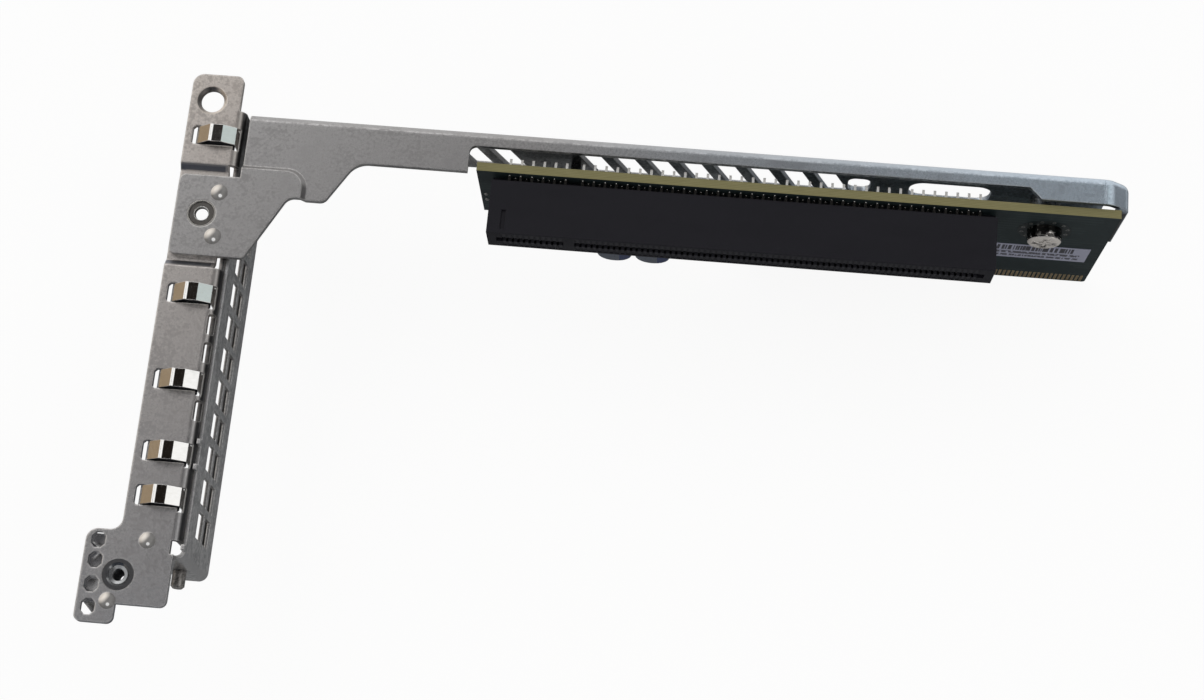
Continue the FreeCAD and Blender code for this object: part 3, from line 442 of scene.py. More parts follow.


# %% [markdown]
# ## Zinc-plated sheet
# The brackets are cut and folded from zinc-plated steel. The plating dries in faint crystals a few
# millimetres wide, the rollers leave long fine streaks, and handling leaves dull clouds and fine
# specks. So the grey is a sum of four layers. The same layers steer the roughness, which is what makes
# the sheet look cloudy and not painted. The grey also drifts in tone and brightness along each sheet,
# which is painted light. Sheared edges are bare and bright, with a painted highlight on the side towards
# the light. Past the folds, on the inner side of the end wall and on the short slopes of the rear flange,
# the sheet is darkened: painted shade. The cone of the screw hole in the ear has painted shade on one
# side and a painted highlight on the other.

# %% Places on the two brackets
SHEET = 1.0 * MM
ARM_RISE = 1.2 * MM
SLOPE_RUN = 3.4 * MM
SLOPE_DROP = 2.4 * MM
JOIN_LAP = 1.2 * MM
board_low, board_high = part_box("riser_board")
arm_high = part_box("arm_bracket")[1]
ARM_TOP = board_high.z + ARM_RISE
FLANGE_TOP = ARM_TOP + SHEET
REAR_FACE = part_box("rear_bracket")[1].x
JOIN_X = arm_high.x - SLOPE_RUN - JOIN_LAP
print("arm top and start of its end, mm:", mm(ARM_TOP, JOIN_X))

# %% Places of painted shade and painted highlight
# The inner side of the end wall, and the heights over which its painted shade grows.
END_WALL = (arm_high.x - 1.3 * MM, arm_high.x - 0.12 * MM)
END_SHADE_DROP = (ARM_TOP - SLOPE_DROP - 0.6 * MM, ARM_TOP - SLOPE_DROP - 1.8 * MM)
END_SHADE_SHARE = 0.95
# Heights and share of the painted shade on the rear flange's short slopes.
JOGGLE_SHADE_SPAN = (FLANGE_TOP - 0.08 * MM, FLANGE_TOP - 0.35 * MM)
JOGGLE_FOOT = FLANGE_TOP - 0.85 * MM
JOGGLE_STOP = REAR_FACE - 2.2 * MM
JOGGLE_SHADE_SHARE = 0.7
EAR_HOLE = Vector((-129.1, 7.87, 0)) * MM
# The ring of the screw hole's cone, which carries painted shade and a painted highlight.
EAR_CONE_INNER = 2.0 * MM
EAR_CONE_OUTER = 2.85 * MM
EAR_CONE_FADE = 0.25 * MM
EAR_CONE_PAINT_SHARE = 0.75
EAR_CONE_LIT_SIDE = (-0.75, 0.35, 0.55)


def end_wall_painted_shade(tree, place):
    """The share of painted shade on the inner side of the end wall, growing downwards."""
    dull = remap(tree, place["Z"], *END_SHADE_DROP, 0.0, END_SHADE_SHARE)
    return product(tree, between(tree, place["X"], *END_WALL), dull)


def ear_cone_painted_light(tree, where, sheet):
    """Lay the cone of the screw hole over the colour of the sheet: painted shade on one side, a painted
    highlight on the other.
    """
    away = from_axis(tree, where, EAR_HOLE)
    inner = above(tree, away, EAR_CONE_INNER)
    outer = remap(tree, away, EAR_CONE_OUTER, EAR_CONE_OUTER - EAR_CONE_FADE, 0.0, EAR_CONE_PAINT_SHARE)
    # Painted light: the cone is bright where it faces one way and dark where it faces away.
    ear_cone_lit = remap(tree, facing(tree, surface_normal(tree), EAR_CONE_LIT_SIDE), 0.0, 0.9)
    cone = tint(tree, ear_cone_lit, (0.045, 0.045, 0.048), (0.90, 0.80, 0.70))
    return tint(tree, product(tree, inner, outer), sheet, cone)


def joggle_painted_shade(tree, place):
    """1 on the short slopes between the two levels of the rear flange, off its bend and its ear, where
    painted bluish shade goes.
    """
    low = remap(tree, place["Z"], *JOGGLE_SHADE_SPAN, 0.0, JOGGLE_SHADE_SHARE)
    high = above(tree, place["Z"], JOGGLE_FOOT)
    off_bend = below(tree, place["X"], JOGGLE_STOP)
    off_ear = below(tree, place["Y"], 0.0)
    return product(tree, low, high, off_bend, off_ear)


# The ring of painted shade and highlight round the screw hole.
print("rubbed ring, mm:", mm(EAR_CONE_INNER, EAR_CONE_OUTER))

# %% Zinc finish
CRYSTAL = 2.2 * MM
CLOUD = 9 * MM
STREAK = 1 * MM
SPECK = 0.6 * MM
SHADE_LOW = 0.95
SHADE_HIGH = 1.25
ROUGH_BRIGHT = 0.30
ROUGH_DULL = 0.48
EDGE_WIDTH = 0.55 * MM
EDGE_SHARE = 0.8
EDGE_METAL = 0.45
# Colour of bare edges, which also serves as their painted highlight.
EDGE_BARE_HIGHLIGHT = (0.86, 0.83, 0.79)
# Colours of painted shade: the end wall's inner side, the flange's short slopes, and past a fold.
END_SHADE = (0.050, 0.046, 0.042)
JOGGLE_SHADE = (0.085, 0.100, 0.135)
FOLD_SHADE = 0.2


def zinc(name, warm, cool, axis, ends, along, fold_axis, fold, fold_shade_share, shade_joggles=False):
    """Sheet whose grey goes from warm to cool tones along an axis, partly as painted light, and darkens
    past a fold as painted shade.
    """
    material, tree, shader, where = open_finish(name)
    cells = tree.nodes.new("ShaderNodeTexVoronoi")
    cells.inputs["Scale"].default_value = 1.0 / CRYSTAL
    link(tree, where, cells.inputs["Vector"])
    crystal = tree.nodes.new("ShaderNodeSeparateColor")
    link(tree, cells.outputs["Color"], crystal.inputs[0])
    clouds = grain(tree, where, CLOUD, detail=4)
    streaks = grain(tree, stretched(tree, where, along), STREAK, detail=2)
    specks = grain(tree, where, SPECK, detail=4, rough=0.7)
    shade = weighted(tree, (clouds, 0.50), (crystal.outputs[0], 0.18), (streaks, 0.25), (specks, 1.30))
    share = math_node(tree, "SUBTRACT", remap(tree, shade, SHADE_LOW, SHADE_HIGH), 0.5)
    share = math_node(tree, "MULTIPLY_ADD", share, flatness(tree), 0.5)
    place = axes(tree, where)
    # Painted light: the grey drifts in tone and brightness along each sheet, following how light falls
    # across it.
    tone_and_light_drift = remap(tree, place[axis], *ends)
    sheet = tint(tree, tone_and_light_drift, tint(tree, share, *warm), tint(tree, share, *cool))
    # Painted shade past a fold: below the arm's bend, and as a dark line on the rear flange's outer bend by
    # the vent panel.
    fold_shade_mask = remap(tree, place[fold_axis], *fold, 0.0, fold_shade_share)
    sheet = tint(tree, fold_shade_mask, sheet, times(cool[0], FOLD_SHADE))
    off_join = math_node(tree, "ABSOLUTE", math_node(tree, "SUBTRACT", place["X"], JOIN_X))
    kept = remap(tree, off_join, EDGE_WIDTH, 1.5 * EDGE_WIDTH, 0.0, EDGE_SHARE)
    # Bare edges, with a painted highlight strongest on the side towards the light.
    bare_and_highlight = product(tree, worn_edge_and_highlight(tree, EDGE_WIDTH), kept)
    # The cone of the screw hole gets painted shade and a painted highlight.
    sheet = ear_cone_painted_light(tree, where, tint(tree, bare_and_highlight, sheet, EDGE_BARE_HIGHLIGHT))
    # Painted shade on the inner side of the end wall.
    sheet = tint(tree, end_wall_painted_shade(tree, place), sheet, END_SHADE)
    # Painted bluish shade on the short slopes of the rear flange.
    if shade_joggles:
        sheet = tint(tree, joggle_painted_shade(tree, place), sheet, JOGGLE_SHADE)
    rough = remap(tree, share, 0.0, 1.0, ROUGH_DULL, ROUGH_BRIGHT)
    coat(tree, shader, sheet, rough, remap(tree, bare_and_highlight, 0.0, EDGE_SHARE, 1.0, EDGE_METAL))
    relief(tree, shader, weighted(tree, (streaks, 0.4), (specks, 1.0)), 0.20, 0.02 * MM, 0.35 * MM)
    return material


# %% Zinc for the two brackets and the vent panel
ALONG_X = (0.06, 1.0, 1.0)
ALONG_Y = (1.0, 0.06, 1.0)
# The warm and cool pairs also carry painted light: the rear bracket darkens towards its foot, the arm grows
# lighter and bluer towards its right end, and the vent panel grows lighter towards -Y.
ARM_WARM = ((0.285, 0.277, 0.275), (0.465, 0.455, 0.45))
ARM_COOL = ((0.40, 0.47, 0.54), (0.66, 0.75, 0.84))
ARM_ENDS = (-70 * MM, 35 * MM)
# Heights over which the painted shade past the arm's bend comes in.
ARM_FOLD_SHADE = (ARM_TOP - 1.2 * MM, ARM_TOP - 2.4 * MM)
REAR_WARM = ((0.390, 0.355, 0.328), (0.63, 0.578, 0.533))
REAR_COOL = ((0.285, 0.283, 0.290), (0.495, 0.487, 0.492))
REAR_ENDS = (10 * MM, -85 * MM)
# The rear flange's outer bend is painted dark: painted shade in the gap by the vent panel.
REAR_FOLD_SHADE = (REAR_FACE - 0.8 * MM, REAR_FACE - 0.35 * MM)
VENT_WARM = ((0.345, 0.345, 0.35), (0.55, 0.55, 0.555))
VENT_COOL = ((0.42, 0.415, 0.415), (0.675, 0.66, 0.655))
VENT_ENDS = (0.0, -75 * MM)

arm_zinc = zinc("arm_zinc", ARM_WARM, ARM_COOL, "X", ARM_ENDS, ALONG_X, "Z", ARM_FOLD_SHADE, 0.1)
rear_zinc = zinc("rear_zinc", REAR_WARM, REAR_COOL, "Y", REAR_ENDS, ALONG_Y, "X", REAR_FOLD_SHADE, 0.95,
                 shade_joggles=True)
vent_zinc = zinc("vent_zinc", VENT_WARM, VENT_COOL, "Y", VENT_ENDS, ALONG_Y, "Z", (ARM_TOP, 0.0), 0.0)
dress(arm_zinc, "arm_bracket")
dress(rear_zinc, "rear_bracket")
dress(vent_zinc, "vent_panel")
print("zinc on arm, rear bracket and vent panel")

# %% [markdown]
# ## Bright plated metal
# The sprung clips are nickel-plated strip, polished enough to mirror the room. A mirror has almost no
# colour of its own, so the finish is a pale warm metal with low roughness, and thin drawing lines along
# the strip that break the mirror up a little. Standoff and stud are plated too, but duller and darker.
# The plate under the foot is dented, so it throws the light every way.

# %% Nickel strip and plated fasteners
EVERY_WAY = (1, 1, 1)


def plated(name, dark, light, rough, along, edge=0.08 * MM, lines_show=0.06, metal=1.0):
    """Plated metal with fine lines along an axis; rough is the pair for bright and for dull spots."""
    material, tree, shader, where = open_finish(name)
    lines = grain(tree, stretched(tree, where, along), 0.4 * MM, detail=2)
    spots = grain(tree, where, 1.6 * MM, detail=3)
    share = spread(tree, weighted(tree, (spots, 0.5), (lines, 0.5)))
    coat(tree, shader, tint(tree, share, dark, light), remap(tree, share, 0, 1, rough[1], rough[0]), metal)
    relief(tree, shader, lines, lines_show, 0.01 * MM, edge)
    return material


def mottled(name, lump, detail, dark, light, rough, metal, bump):
    """Metal whose tone, gloss and relief follow one noise; bump is strength, depth and softened edge."""
    material, tree, shader, where = open_finish(name)
    lumps = grain(tree, where, lump, detail)
    coat(tree, shader, tint(tree, lumps, dark, light), spread(tree, lumps, *rough), metal)
    relief(tree, shader, lumps, *bump)
    return material


DENTS = (1.0, 0.7 * MM, 0.1 * MM)
dented = mottled("dented_back", 3.0 * MM, 0, (0.40, 0.395, 0.39), (0.80, 0.79, 0.78), (0.24, 0.14), 1.0,
                 DENTS)
nickel = plated("nickel_strip", (0.86, 0.85, 0.82), (0.95, 0.94, 0.92), (0.04, 0.10), ALONG_X,
                lines_show=0.015)
fastener = plated("fastener_plate", (0.46, 0.45, 0.43), (0.62, 0.61, 0.59), (0.22, 0.36), EVERY_WAY)
dark_plate = plated("dark_plate", (0.05, 0.048, 0.045), (0.40, 0.38, 0.36), (0.30, 0.44), EVERY_WAY,
                    metal=0.7)
dress(dented, "backing_plate")
dress(fastener, "standoff")
dress(dark_plate, "panel_stud")
print("plating on standoff, stud and backing plate")

# %% [markdown]
# ## Rivet and nut
# A rivet's head and a pressed-in nut are rings in rings: a bright rim that the tool has burnished, a
# groove between, painted dark as painted shade, and a lighter collar. The rings are round, so the tone
# can follow the distance from the axis.

# %% Rings of tone about an axis
def ringed(name, node, groove_from, groove_to, dark, light):
    material, tree, shader, where = open_finish(name)
    groove_shade = between(tree, from_axis(tree, where, span(node)[2]), groove_from, groove_to)
    dirt = grain(tree, where, 0.6 * MM, detail=3)
    bright = tint(tree, dirt, times(light, 0.75), light)
    # Painted shade: the groove between rim and collar is painted dark.
    dull = tint(tree, dirt, dark, times(dark, 1.8))
    coat(tree, shader, tint(tree, groove_shade, bright, dull), remap(tree, groove_shade, 0, 1, 0.26, 0.45), 1.0)
    relief(tree, shader, dirt, 0.12, 0.02 * MM, 0.12 * MM)
    return material


# The dark colours are the painted shade in the grooves.
RIVET_GROOVE_SHADE = (0.085, 0.080, 0.075)
RIVET_LIGHT = (0.55, 0.53, 0.50)
NUT_GROOVE_SHADE = (0.06, 0.06, 0.062)
NUT_LIGHT = (0.34, 0.345, 0.35)
rivet_metal = ringed("rivet_rings", "joint_rivet", 0.9 * MM, 2.25 * MM, RIVET_GROOVE_SHADE, RIVET_LIGHT)
nut_metal = ringed("nut_rings", "captive_nut", 1.95 * MM, 2.62 * MM, NUT_GROOVE_SHADE, NUT_LIGHT)
dress(rivet_metal, "joint_rivet")
dress(nut_metal, "captive_nut")
print("rings on the rivet and the nut")

# %% [markdown]
# ## Circuit board
# The board is glass cloth in resin under a dark green mask. Its faces and its cut edges look quite
# different: the faces are smooth and dark, with copper tracks that show as slightly lighter lines, and
# the edges show the raw olive-tan laminate in layers. One finish serves both, because the place across
# the thickness tells a face from an edge. The tracks are thin straight bands, drawn with wave textures
# that noise switches on and off.

# %% Board finish with masked faces and raw edges
BOARD_HALF = (board_high.y - board_low.y) / 2
TRACK_PITCH = 1.1 * MM
LAYER_PITCH = 0.28 * MM


def bands(tree, where, direction, pitch, distortion=0.0):
    """Light and dark bands across an axis."""
    wave = tree.nodes.new("ShaderNodeTexWave")
    wave.bands_direction = direction
    wave.inputs["Scale"].default_value = 0.3 / pitch
    wave.inputs["Distortion"].default_value = distortion
    link(tree, where, wave.inputs["Vector"])
    return wave.outputs["Fac"]


def laminate(name):
    material, tree, shader, where = open_finish(name)
    off_middle = math_node(tree, "ABSOLUTE", axes(tree, where)["Y"])
    face = above(tree, off_middle, BOARD_HALF * 0.985)
    tracks = above(tree, bands(tree, where, "Z", TRACK_PITCH), 0.72)
    areas = grain(tree, stretched(tree, where, (0.5, 1, 1)), 5 * MM, detail=1)
    drawn = product(tree, tracks, above(tree, areas, 0.52))
    mottle = grain(tree, where, 3 * MM, detail=3)
    mask = tint(tree, mottle, (0.013, 0.020, 0.022), (0.020, 0.029, 0.031))
    mask = tint(tree, product(tree, drawn, 0.55), mask, (0.030, 0.043, 0.044))
    layers = bands(tree, where, "Y", LAYER_PITCH, distortion=1.5)
    fibre = grain(tree, stretched(tree, where, (0.15, 1, 0.15)), 0.3 * MM, detail=3)
    cut = weighted(tree, (fibre, 0.6), (layers, 0.4))
    raw = tint(tree, cut, (0.155, 0.140, 0.062), (0.27, 0.250, 0.130))
    coat(tree, shader, tint(tree, face, raw, mask), remap(tree, face, 0, 1, 0.62, 0.48))
    shader.inputs["Specular IOR Level"].default_value = 0.12
    relief(tree, shader, weighted(tree, (fibre, 0.3), (drawn, 0.6)), 0.25, 0.03 * MM, 0.06 * MM)
    return material


dress(laminate("board_laminate"), "riser_board")
print("board half thickness, mm:", mm(BOARD_HALF))

# %% [markdown]
# ## Gold, tin and moulded plastic
# The plug's fingers are gold over nickel, a little scratched by use. The slot's contacts are plated
# where a card touches them, and their legs near the board are painted near black as painted shade. Their
# soldered ends are frosted tin. The slot is black moulded plastic: almost matt, with a fine spark-eroded
# grain that only shows where light grazes it. Its sides have a faint gloss variation from the flow of the
# plastic in the mould.

# %% Gold fingers, contacts and solder
gold = plated("gold_finger", (0.50, 0.37, 0.20), (0.70, 0.54, 0.33), (0.24, 0.40), (1, 1, 0.1),
              edge=0.03 * MM)
LEGS_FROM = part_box("slot_housing")[1].y - 1.6 * MM
# Near black of the legs near the board: painted shade.
LEG_SHADE = (0.030, 0.028, 0.026)


def contact_blade(name):
    material, tree, shader, where = open_finish(name)
    leg = above(tree, axes(tree, where)["Y"], LEGS_FROM)
    rub = grain(tree, stretched(tree, where, (1, 0.1, 1)), 0.3 * MM, detail=2)
    plating = tint(tree, rub, (0.40, 0.34, 0.24), (0.62, 0.54, 0.40))
    # The legs are painted near black as painted shade.
    coat(tree, shader, tint(tree, leg, plating, LEG_SHADE), spread(tree, rub, 0.34, 0.50), 0.8)
    relief(tree, shader, rub, 0.06, 0.01 * MM, 0.04 * MM)
    return material


FROST = (0.15, 0.02 * MM, 0.05 * MM)
solder = mottled("bright_solder", 0.25 * MM, 3, (0.80, 0.79, 0.76), (0.96, 0.95, 0.92), (0.22, 0.42), 0.1,
                 FROST)
dress(gold, "fingers_front", "fingers_back")
dress(contact_blade("contact_blade"), "contacts_upper", "contacts_lower")
dress(solder, "tails_upper", "tails_lower")
print("gold and tin set")

# %% Black plastic
def moulded(name, dark, light, rough, edge):
    """Plastic with fine pits; rough is the range that the flow in the mould gives."""
    material, tree, shader, where = open_finish(name)
    pits = grain(tree, where, 0.25 * MM, detail=2)
    flow = grain(tree, stretched(tree, where, (0.25, 1, 1)), 6 * MM, detail=3)
    share = weighted(tree, (flow, 0.6), (pits, 0.4))
    coat(tree, shader, tint(tree, share, dark, light), spread(tree, flow, *rough))
    shader.inputs["Specular IOR Level"].default_value = 0.2
    relief(tree, shader, pits, 0.2, 0.02 * MM, edge)
    return material


black = moulded("slot_black", (0.0060, 0.0057, 0.0090), (0.0115, 0.0110, 0.0160), (0.46, 0.60), 0.12 * MM)
pin_black = moulded("pin_black", (0.010, 0.010, 0.011), (0.020, 0.020, 0.022), (0.35, 0.50), 0.15 * MM)
base_black = moulded("base_black", (0.012, 0.012, 0.014), (0.024, 0.024, 0.027), (0.45, 0.60), 0.10 * MM)
dress(black, "slot_housing")
dress(pin_black, "locating_pin")
dress(base_black, "capacitor_1_base", "capacitor_2_base")
print("plastic set")

# %% [markdown]
# ## Can capacitors
# A can capacitor is an aluminium cup with a dark patch printed on its end that marks one pole. The cup
# is drawn and lightly brushed round. The patch is a plain half-moon, so it needs no drawing: everything
# beyond a line on the end face is dark blue. The end face is known from the box of the node, and so is
# its middle.

# %% Aluminium cup with a pole mark
MARK_PLACE = 0.9 * MM
MARK_BLUE = (0.012, 0.022, 0.075)
END_SKIN = 0.05 * MM


def cup(name, node):
    material, tree, shader, where = open_finish(name)
    low, _, middle = span(node)
    place = axes(tree, where)
    on_end = below(tree, place["Y"], low.y + END_SKIN)
    beyond = above(tree, place["X"], middle.x + MARK_PLACE)
    marked = product(tree, on_end, beyond)
    brushed = grain(tree, stretched(tree, where, (1, 0.1, 1)), 0.3 * MM, detail=2)
    metal = tint(tree, brushed, (0.19, 0.21, 0.26), (0.32, 0.35, 0.42))
    rough = spread(tree, brushed, 0.26, 0.40)
    coat(tree, shader, tint(tree, marked, metal, MARK_BLUE), rough, remap(tree, marked, 0, 1, 1.0, 0.0))
    relief(tree, shader, brushed, 0.08, 0.02 * MM, 0.15 * MM)
    return material


print("pole mark begins, mm from the middle:", mm(MARK_PLACE))

# %% [markdown]
# ## Label
# The label is a strip of coated paper with a generic pattern: a row of stripes of uneven width along
# its upper half and two grey rows below, made from noise that is stretched upright and cut to dark and
# light. Nothing on it can be read.

# %% Paper label with stripes
INK = (0.035, 0.035, 0.045)


def paper_label(name, node):
    material, tree, shader, where = open_finish(name)
    low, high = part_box(node)
    place = axes(tree, where)
    right = remap(tree, place["X"], low.x, high.x)
    up = remap(tree, place["Z"], low.z, high.z)
    stripes = grain(tree, stretched(tree, where, (1, 0, 0)), 0.42 * MM, detail=1)
    stripes = above(tree, stripes, 0.46)
    code = product(tree, stripes, between(tree, up, 0.58, 0.92), between(tree, right, 0.06, 0.84))
    marks = grain(tree, stretched(tree, where, (1, 0, 0.4)), 0.5 * MM, detail=1)
    marks = above(tree, marks, 0.44)
    rows = math_node(tree, "ADD", between(tree, up, 0.33, 0.49), between(tree, up, 0.12, 0.25))
    rows = product(tree, marks, rows, between(tree, right, 0.04, 0.92), 0.9)
    fibres = grain(tree, where, 0.5 * MM, detail=3)
    sheet = tint(tree, fibres, (0.21, 0.22, 0.29), (0.28, 0.29, 0.37))
    printed = tint(tree, math_node(tree, "MAXIMUM", code, rows), sheet, INK)
    coat(tree, shader, printed, spread(tree, fibres, 0.45, 0.60))
    relief(tree, shader, fibres, 0.1, 0.01 * MM, 0.03 * MM)
    print("label, mm:", mm(high.x - low.x, high.z - low.z))
    return material


dress(paper_label("label_paper", "board_label"), "board_label")

# %% [markdown]
# ## Pressed domes
# Some things are finer than the solids. The first are four round domes that are pressed up out of the
# sheet. A dome is the top of a sphere, so it starts as a sphere in bmesh and is cut off at its foot.
# Its tone follows the direction that the surface faces, as a painted highlight on one side and on one
# small patch. One helper turns a finished bmesh into a piece that rides on the model, takes a finish
# and shades smoothly.

# %% Helpers: a bmesh becomes a piece of the model
UP = (0, 0, 1)


def piece(name, bm, finish, smooth_angle=40, even_shading=False):
    """A named part of the model from a bmesh, smooth apart from edges that turn by more than an angle."""
    bmesh.ops.recalc_face_normals(bm, faces=bm.faces)
    for face in bm.faces:
        face.smooth = True
    for edge in bm.edges:
        if len(edge.link_faces) == 2 and edge.calc_face_angle(0.0) > math.radians(smooth_angle):
            edge.smooth = False
    mesh = bpy.data.meshes.new(name)
    bm.to_mesh(mesh)
    bm.free()
    mesh.materials.append(finish)
    made = bpy.data.objects.new(name, mesh)
    if even_shading:
        made.modifiers.new("even_shading", "WEIGHTED_NORMAL").keep_sharp = True
    bpy.context.scene.collection.objects.link(made)
    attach(made, "root")
    reach = [mm(min(along), max(along)) for along in zip(*(v.co for v in mesh.vertices))]
    print(name, "mm:", reach, "faces:", len(mesh.polygons))
    return made


def stand(bm, form, place, axis):
    """Turn a finished form to stand along an axis at a place, and add it to a larger bmesh."""
    turn = Vector(UP).rotation_difference(Vector(axis)).to_matrix().to_4x4()
    bmesh.ops.transform(form, matrix=Matrix.Translation(place) @ turn, verts=form.verts)
    carrier = bpy.data.meshes.new("carrier")
    form.to_mesh(carrier)
    form.free()
    bm.from_mesh(carrier)
    bpy.data.meshes.remove(carrier)


def everything(bm):
    return bm.verts[:] + bm.edges[:] + bm.faces[:]


def verts_of(items):
    return [item for item in items if isinstance(item, bmesh.types.BMVert)]


def add_cap(bm, place, width, rise, axis, segments=32):
    """A low round cap: the top of a sphere, cut off at its foot."""
    radius = (width ** 2 / 4 + rise ** 2) / (2 * rise)
    cap = bmesh.new()
    bmesh.ops.create_uvsphere(cap, u_segments=segments, v_segments=segments, radius=radius)
    bmesh.ops.translate(cap, vec=(0, 0, rise - radius), verts=cap.verts)
    bmesh.ops.bisect_plane(cap, geom=everything(cap), plane_co=(0, 0, 0), plane_no=UP, clear_inner=True)
    stand(bm, cap, place, axis)


# %% Pressed domes: width and rise, and their places from the rivet and the nut
# The direction that the small painted highlight on each dome faces.
DOME_HIGHLIGHT_SIDE = (0.22, -0.45, 0.866)
RIVET_DOME = (3.0 * MM, 0.80 * MM)
NUT_DOME = (2.8 * MM, 0.81 * MM)
DOMES_BY_RIVET = ((2.6 * MM, 4.1 * MM), (2.6 * MM, -4.1 * MM))
DOMES_BY_NUT = ((4.0 * MM, 6.1 * MM), (-1.1 * MM, -4.5 * MM))
rivet_low, rivet_high, rivet_middle = span("joint_rivet")
nut_low, nut_high, nut_middle = span("captive_nut")
SHEET_TOP = rivet_high.z
dome_groups = ((rivet_middle, RIVET_DOME, DOMES_BY_RIVET), (nut_middle, NUT_DOME, DOMES_BY_NUT))
domes = bmesh.new()
for middle, form, offsets in dome_groups:
    for dx, dy in offsets:
        add_cap(domes, (middle.x + dx, middle.y + dy, SHEET_TOP), *form, UP)


def dome_painted_light(name):
    """Painted highlight: bright on the side of a dome that faces the light, and on a small patch that faces
    another way.
    """
    material, tree, shader, where = open_finish(name)
    dirt = grain(tree, where, 0.5 * MM, detail=2)
    normal = surface_normal(tree)
    # Painted highlight: the side facing the light and a small patch facing another way are painted bright.
    side = remap(tree, facing(tree, normal, LIGHT_SIDE), 0.60, 0.92)
    painted_spot = remap(tree, facing(tree, normal, DOME_HIGHLIGHT_SIDE), 0.978, 0.990)
    metal = tint(tree, dirt, (0.18, 0.175, 0.17), (0.26, 0.255, 0.25))
    metal = tint(tree, side, metal, (0.92, 0.86, 0.79))
    metal = tint(tree, painted_spot, metal, (0.97, 0.97, 0.97))
    coat(tree, shader, metal, spread(tree, dirt, 0.34, 0.44), 0.15)
    relief(tree, shader, dirt, 0.05, 0.01 * MM, 0.05 * MM)
    return material


piece("pressed_domes", domes, dome_painted_light("dome_shine"))

# %% [markdown]
# ## Turned parts
# The screw, the ring under it, the two capacitor cups, the hollow rivet with its eyelet and the nut's
# thread are all round, so each is one profile spun about an axis. The helper takes the profile as pairs
# of radius and height, spins it once round, closes the seam, and stands it on a face of the model. Rims
# get their round edge from a bevel, and the cross in the screw's head is pushed in from the faces near
# its middle.

# %% Helpers: spin a profile, stand it on a face and round its rims
FRONT = board_low.y
OUT_OF_FRONT = (0, -1, 0)
TOUCH = 1e-6
SAME = 1e-7


def spin_profile(bm, profile, place, axis, steps=48):
    """One turn of a profile of radius and height pairs, closed at the seam and stood in its place."""
    form = bmesh.new()
    points = [form.verts.new((radius, 0, height)) for radius, height in profile]
    lines = [form.edges.new(pair) for pair in zip(points, points[1:])]
    bmesh.ops.spin(form, geom=points + lines, cent=(0, 0, 0), axis=UP, angle=math.tau, steps=steps,
                   use_merge=True)
    bmesh.ops.remove_doubles(form, verts=form.verts, dist=SAME)
    stand(bm, form, place, axis)


def round_rim(bm, width, segments, wanted):
    """Round the edges that the test picks."""
    rim = [edge for edge in bm.edges if wanted(edge)]
    bmesh.ops.bevel(bm, geom=rim, offset=width, affect="EDGES", segments=segments, profile=0.5, material=-1)


# %% Screw with a round head
screw_low, screw_high, screw_middle = span("board_screw")
screw_foot = (screw_middle.x, FRONT, screw_middle.z)
HEAD_RISE = FRONT - screw_low.y
SHOULDER = HEAD_RISE * 0.94
SHANK_REACH = screw_high.y - FRONT
HEAD_HALF = (screw_high.x - screw_low.x) / 2
SHANK_HALF = 1.45 * MM
RIM_ROUND = 0.6 * MM
CROSS_REACH = 1.65 * MM
CROSS_HALF = 0.42 * MM
CROSS_DEPTH = 1.1 * MM
CROSS_TAPER = 0.7

screw = bmesh.new()
shank = [(0, -SHANK_REACH), (SHANK_HALF, -SHANK_REACH), (SHANK_HALF, 0)]
head = [(HEAD_HALF, 0), (HEAD_HALF, SHOULDER)]
head_radii = (HEAD_HALF * 0.8, CROSS_REACH, CROSS_REACH * 0.6, CROSS_HALF, 0)
head += [(radius, HEAD_RISE) for radius in head_radii]
spin_profile(screw, shank + head, screw_foot, OUT_OF_FRONT)
round_rim(screw, RIM_ROUND, 4, lambda edge: all(abs(v.co.y - FRONT + SHOULDER) < TOUCH for v in edge.verts))

# %% Cross in the screw's head
def in_cross(face):
    middle = face.calc_center_median()
    x, z = abs(middle.x - screw_middle.x), abs(middle.z - screw_middle.z)
    on_top = abs(middle.y - screw_low.y) < TOUCH
    return on_top and math.hypot(x, z) < CROSS_REACH and min(x, z) < CROSS_HALF


pushed = bmesh.ops.extrude_face_region(screw, geom=[face for face in screw.faces if in_cross(face)])
floor_verts = verts_of(pushed["geom"])
bmesh.ops.translate(screw, vec=(0, CROSS_DEPTH, 0), verts=floor_verts)
bmesh.ops.scale(screw, vec=(CROSS_TAPER, 1, CROSS_TAPER), verts=floor_verts,
                space=Matrix.Translation((-screw_middle.x, 0, -screw_middle.z)))


def screw_painted_light(name):
    """Painted light: a bright end face, and a turned side painted dark as a dark reflection, with a few
    painted glints.
    """
    material, tree, shader, where = open_finish(name)
    # Painted light: the end face is bright, and the side is painted dark with a few painted glints.
    face = below(tree, axes(tree, where)["Y"], FRONT - HEAD_RISE * 0.88)
    turned = grain(tree, where, 0.35 * MM, detail=3)
    painted_glints = above(tree, grain(tree, where, 0.9 * MM, detail=1), 0.62)
    bright = tint(tree, turned, (0.50, 0.47, 0.44), (0.76, 0.72, 0.68))
    dark = tint(tree, turned, (0.035, 0.033, 0.031), (0.10, 0.096, 0.092))
    colour = tint(tree, face, tint(tree, painted_glints, dark, bright), bright)
    rough = spread(tree, turned, 0.10, 0.20)
    coat(tree, shader, colour, rough, remap(tree, face, 0, 1, 1.0, 0.45))
    relief(tree, shader, turned, 0.10, 0.02 * MM, 0.06 * MM)
    return material


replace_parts(piece("round_screw", screw, screw_painted_light("screw_painted_light")), "board_screw")

# %% Ring of mask with plated holes round the screw
PAD_IN = 1.6 * MM
PAD_HALF = 4.7 * MM
PAD_RISE = 0.04 * MM
VIA_CIRCLE = 4.05 * MM
VIA_COUNT = 12
VIA_HALF = 0.36 * MM


def flat_ring(bm, inner, outer, rise, place, steps):
    profile = [(inner, 0), (inner, rise), (outer, rise), (outer, 0)]
    spin_profile(bm, profile, place, OUT_OF_FRONT, steps)


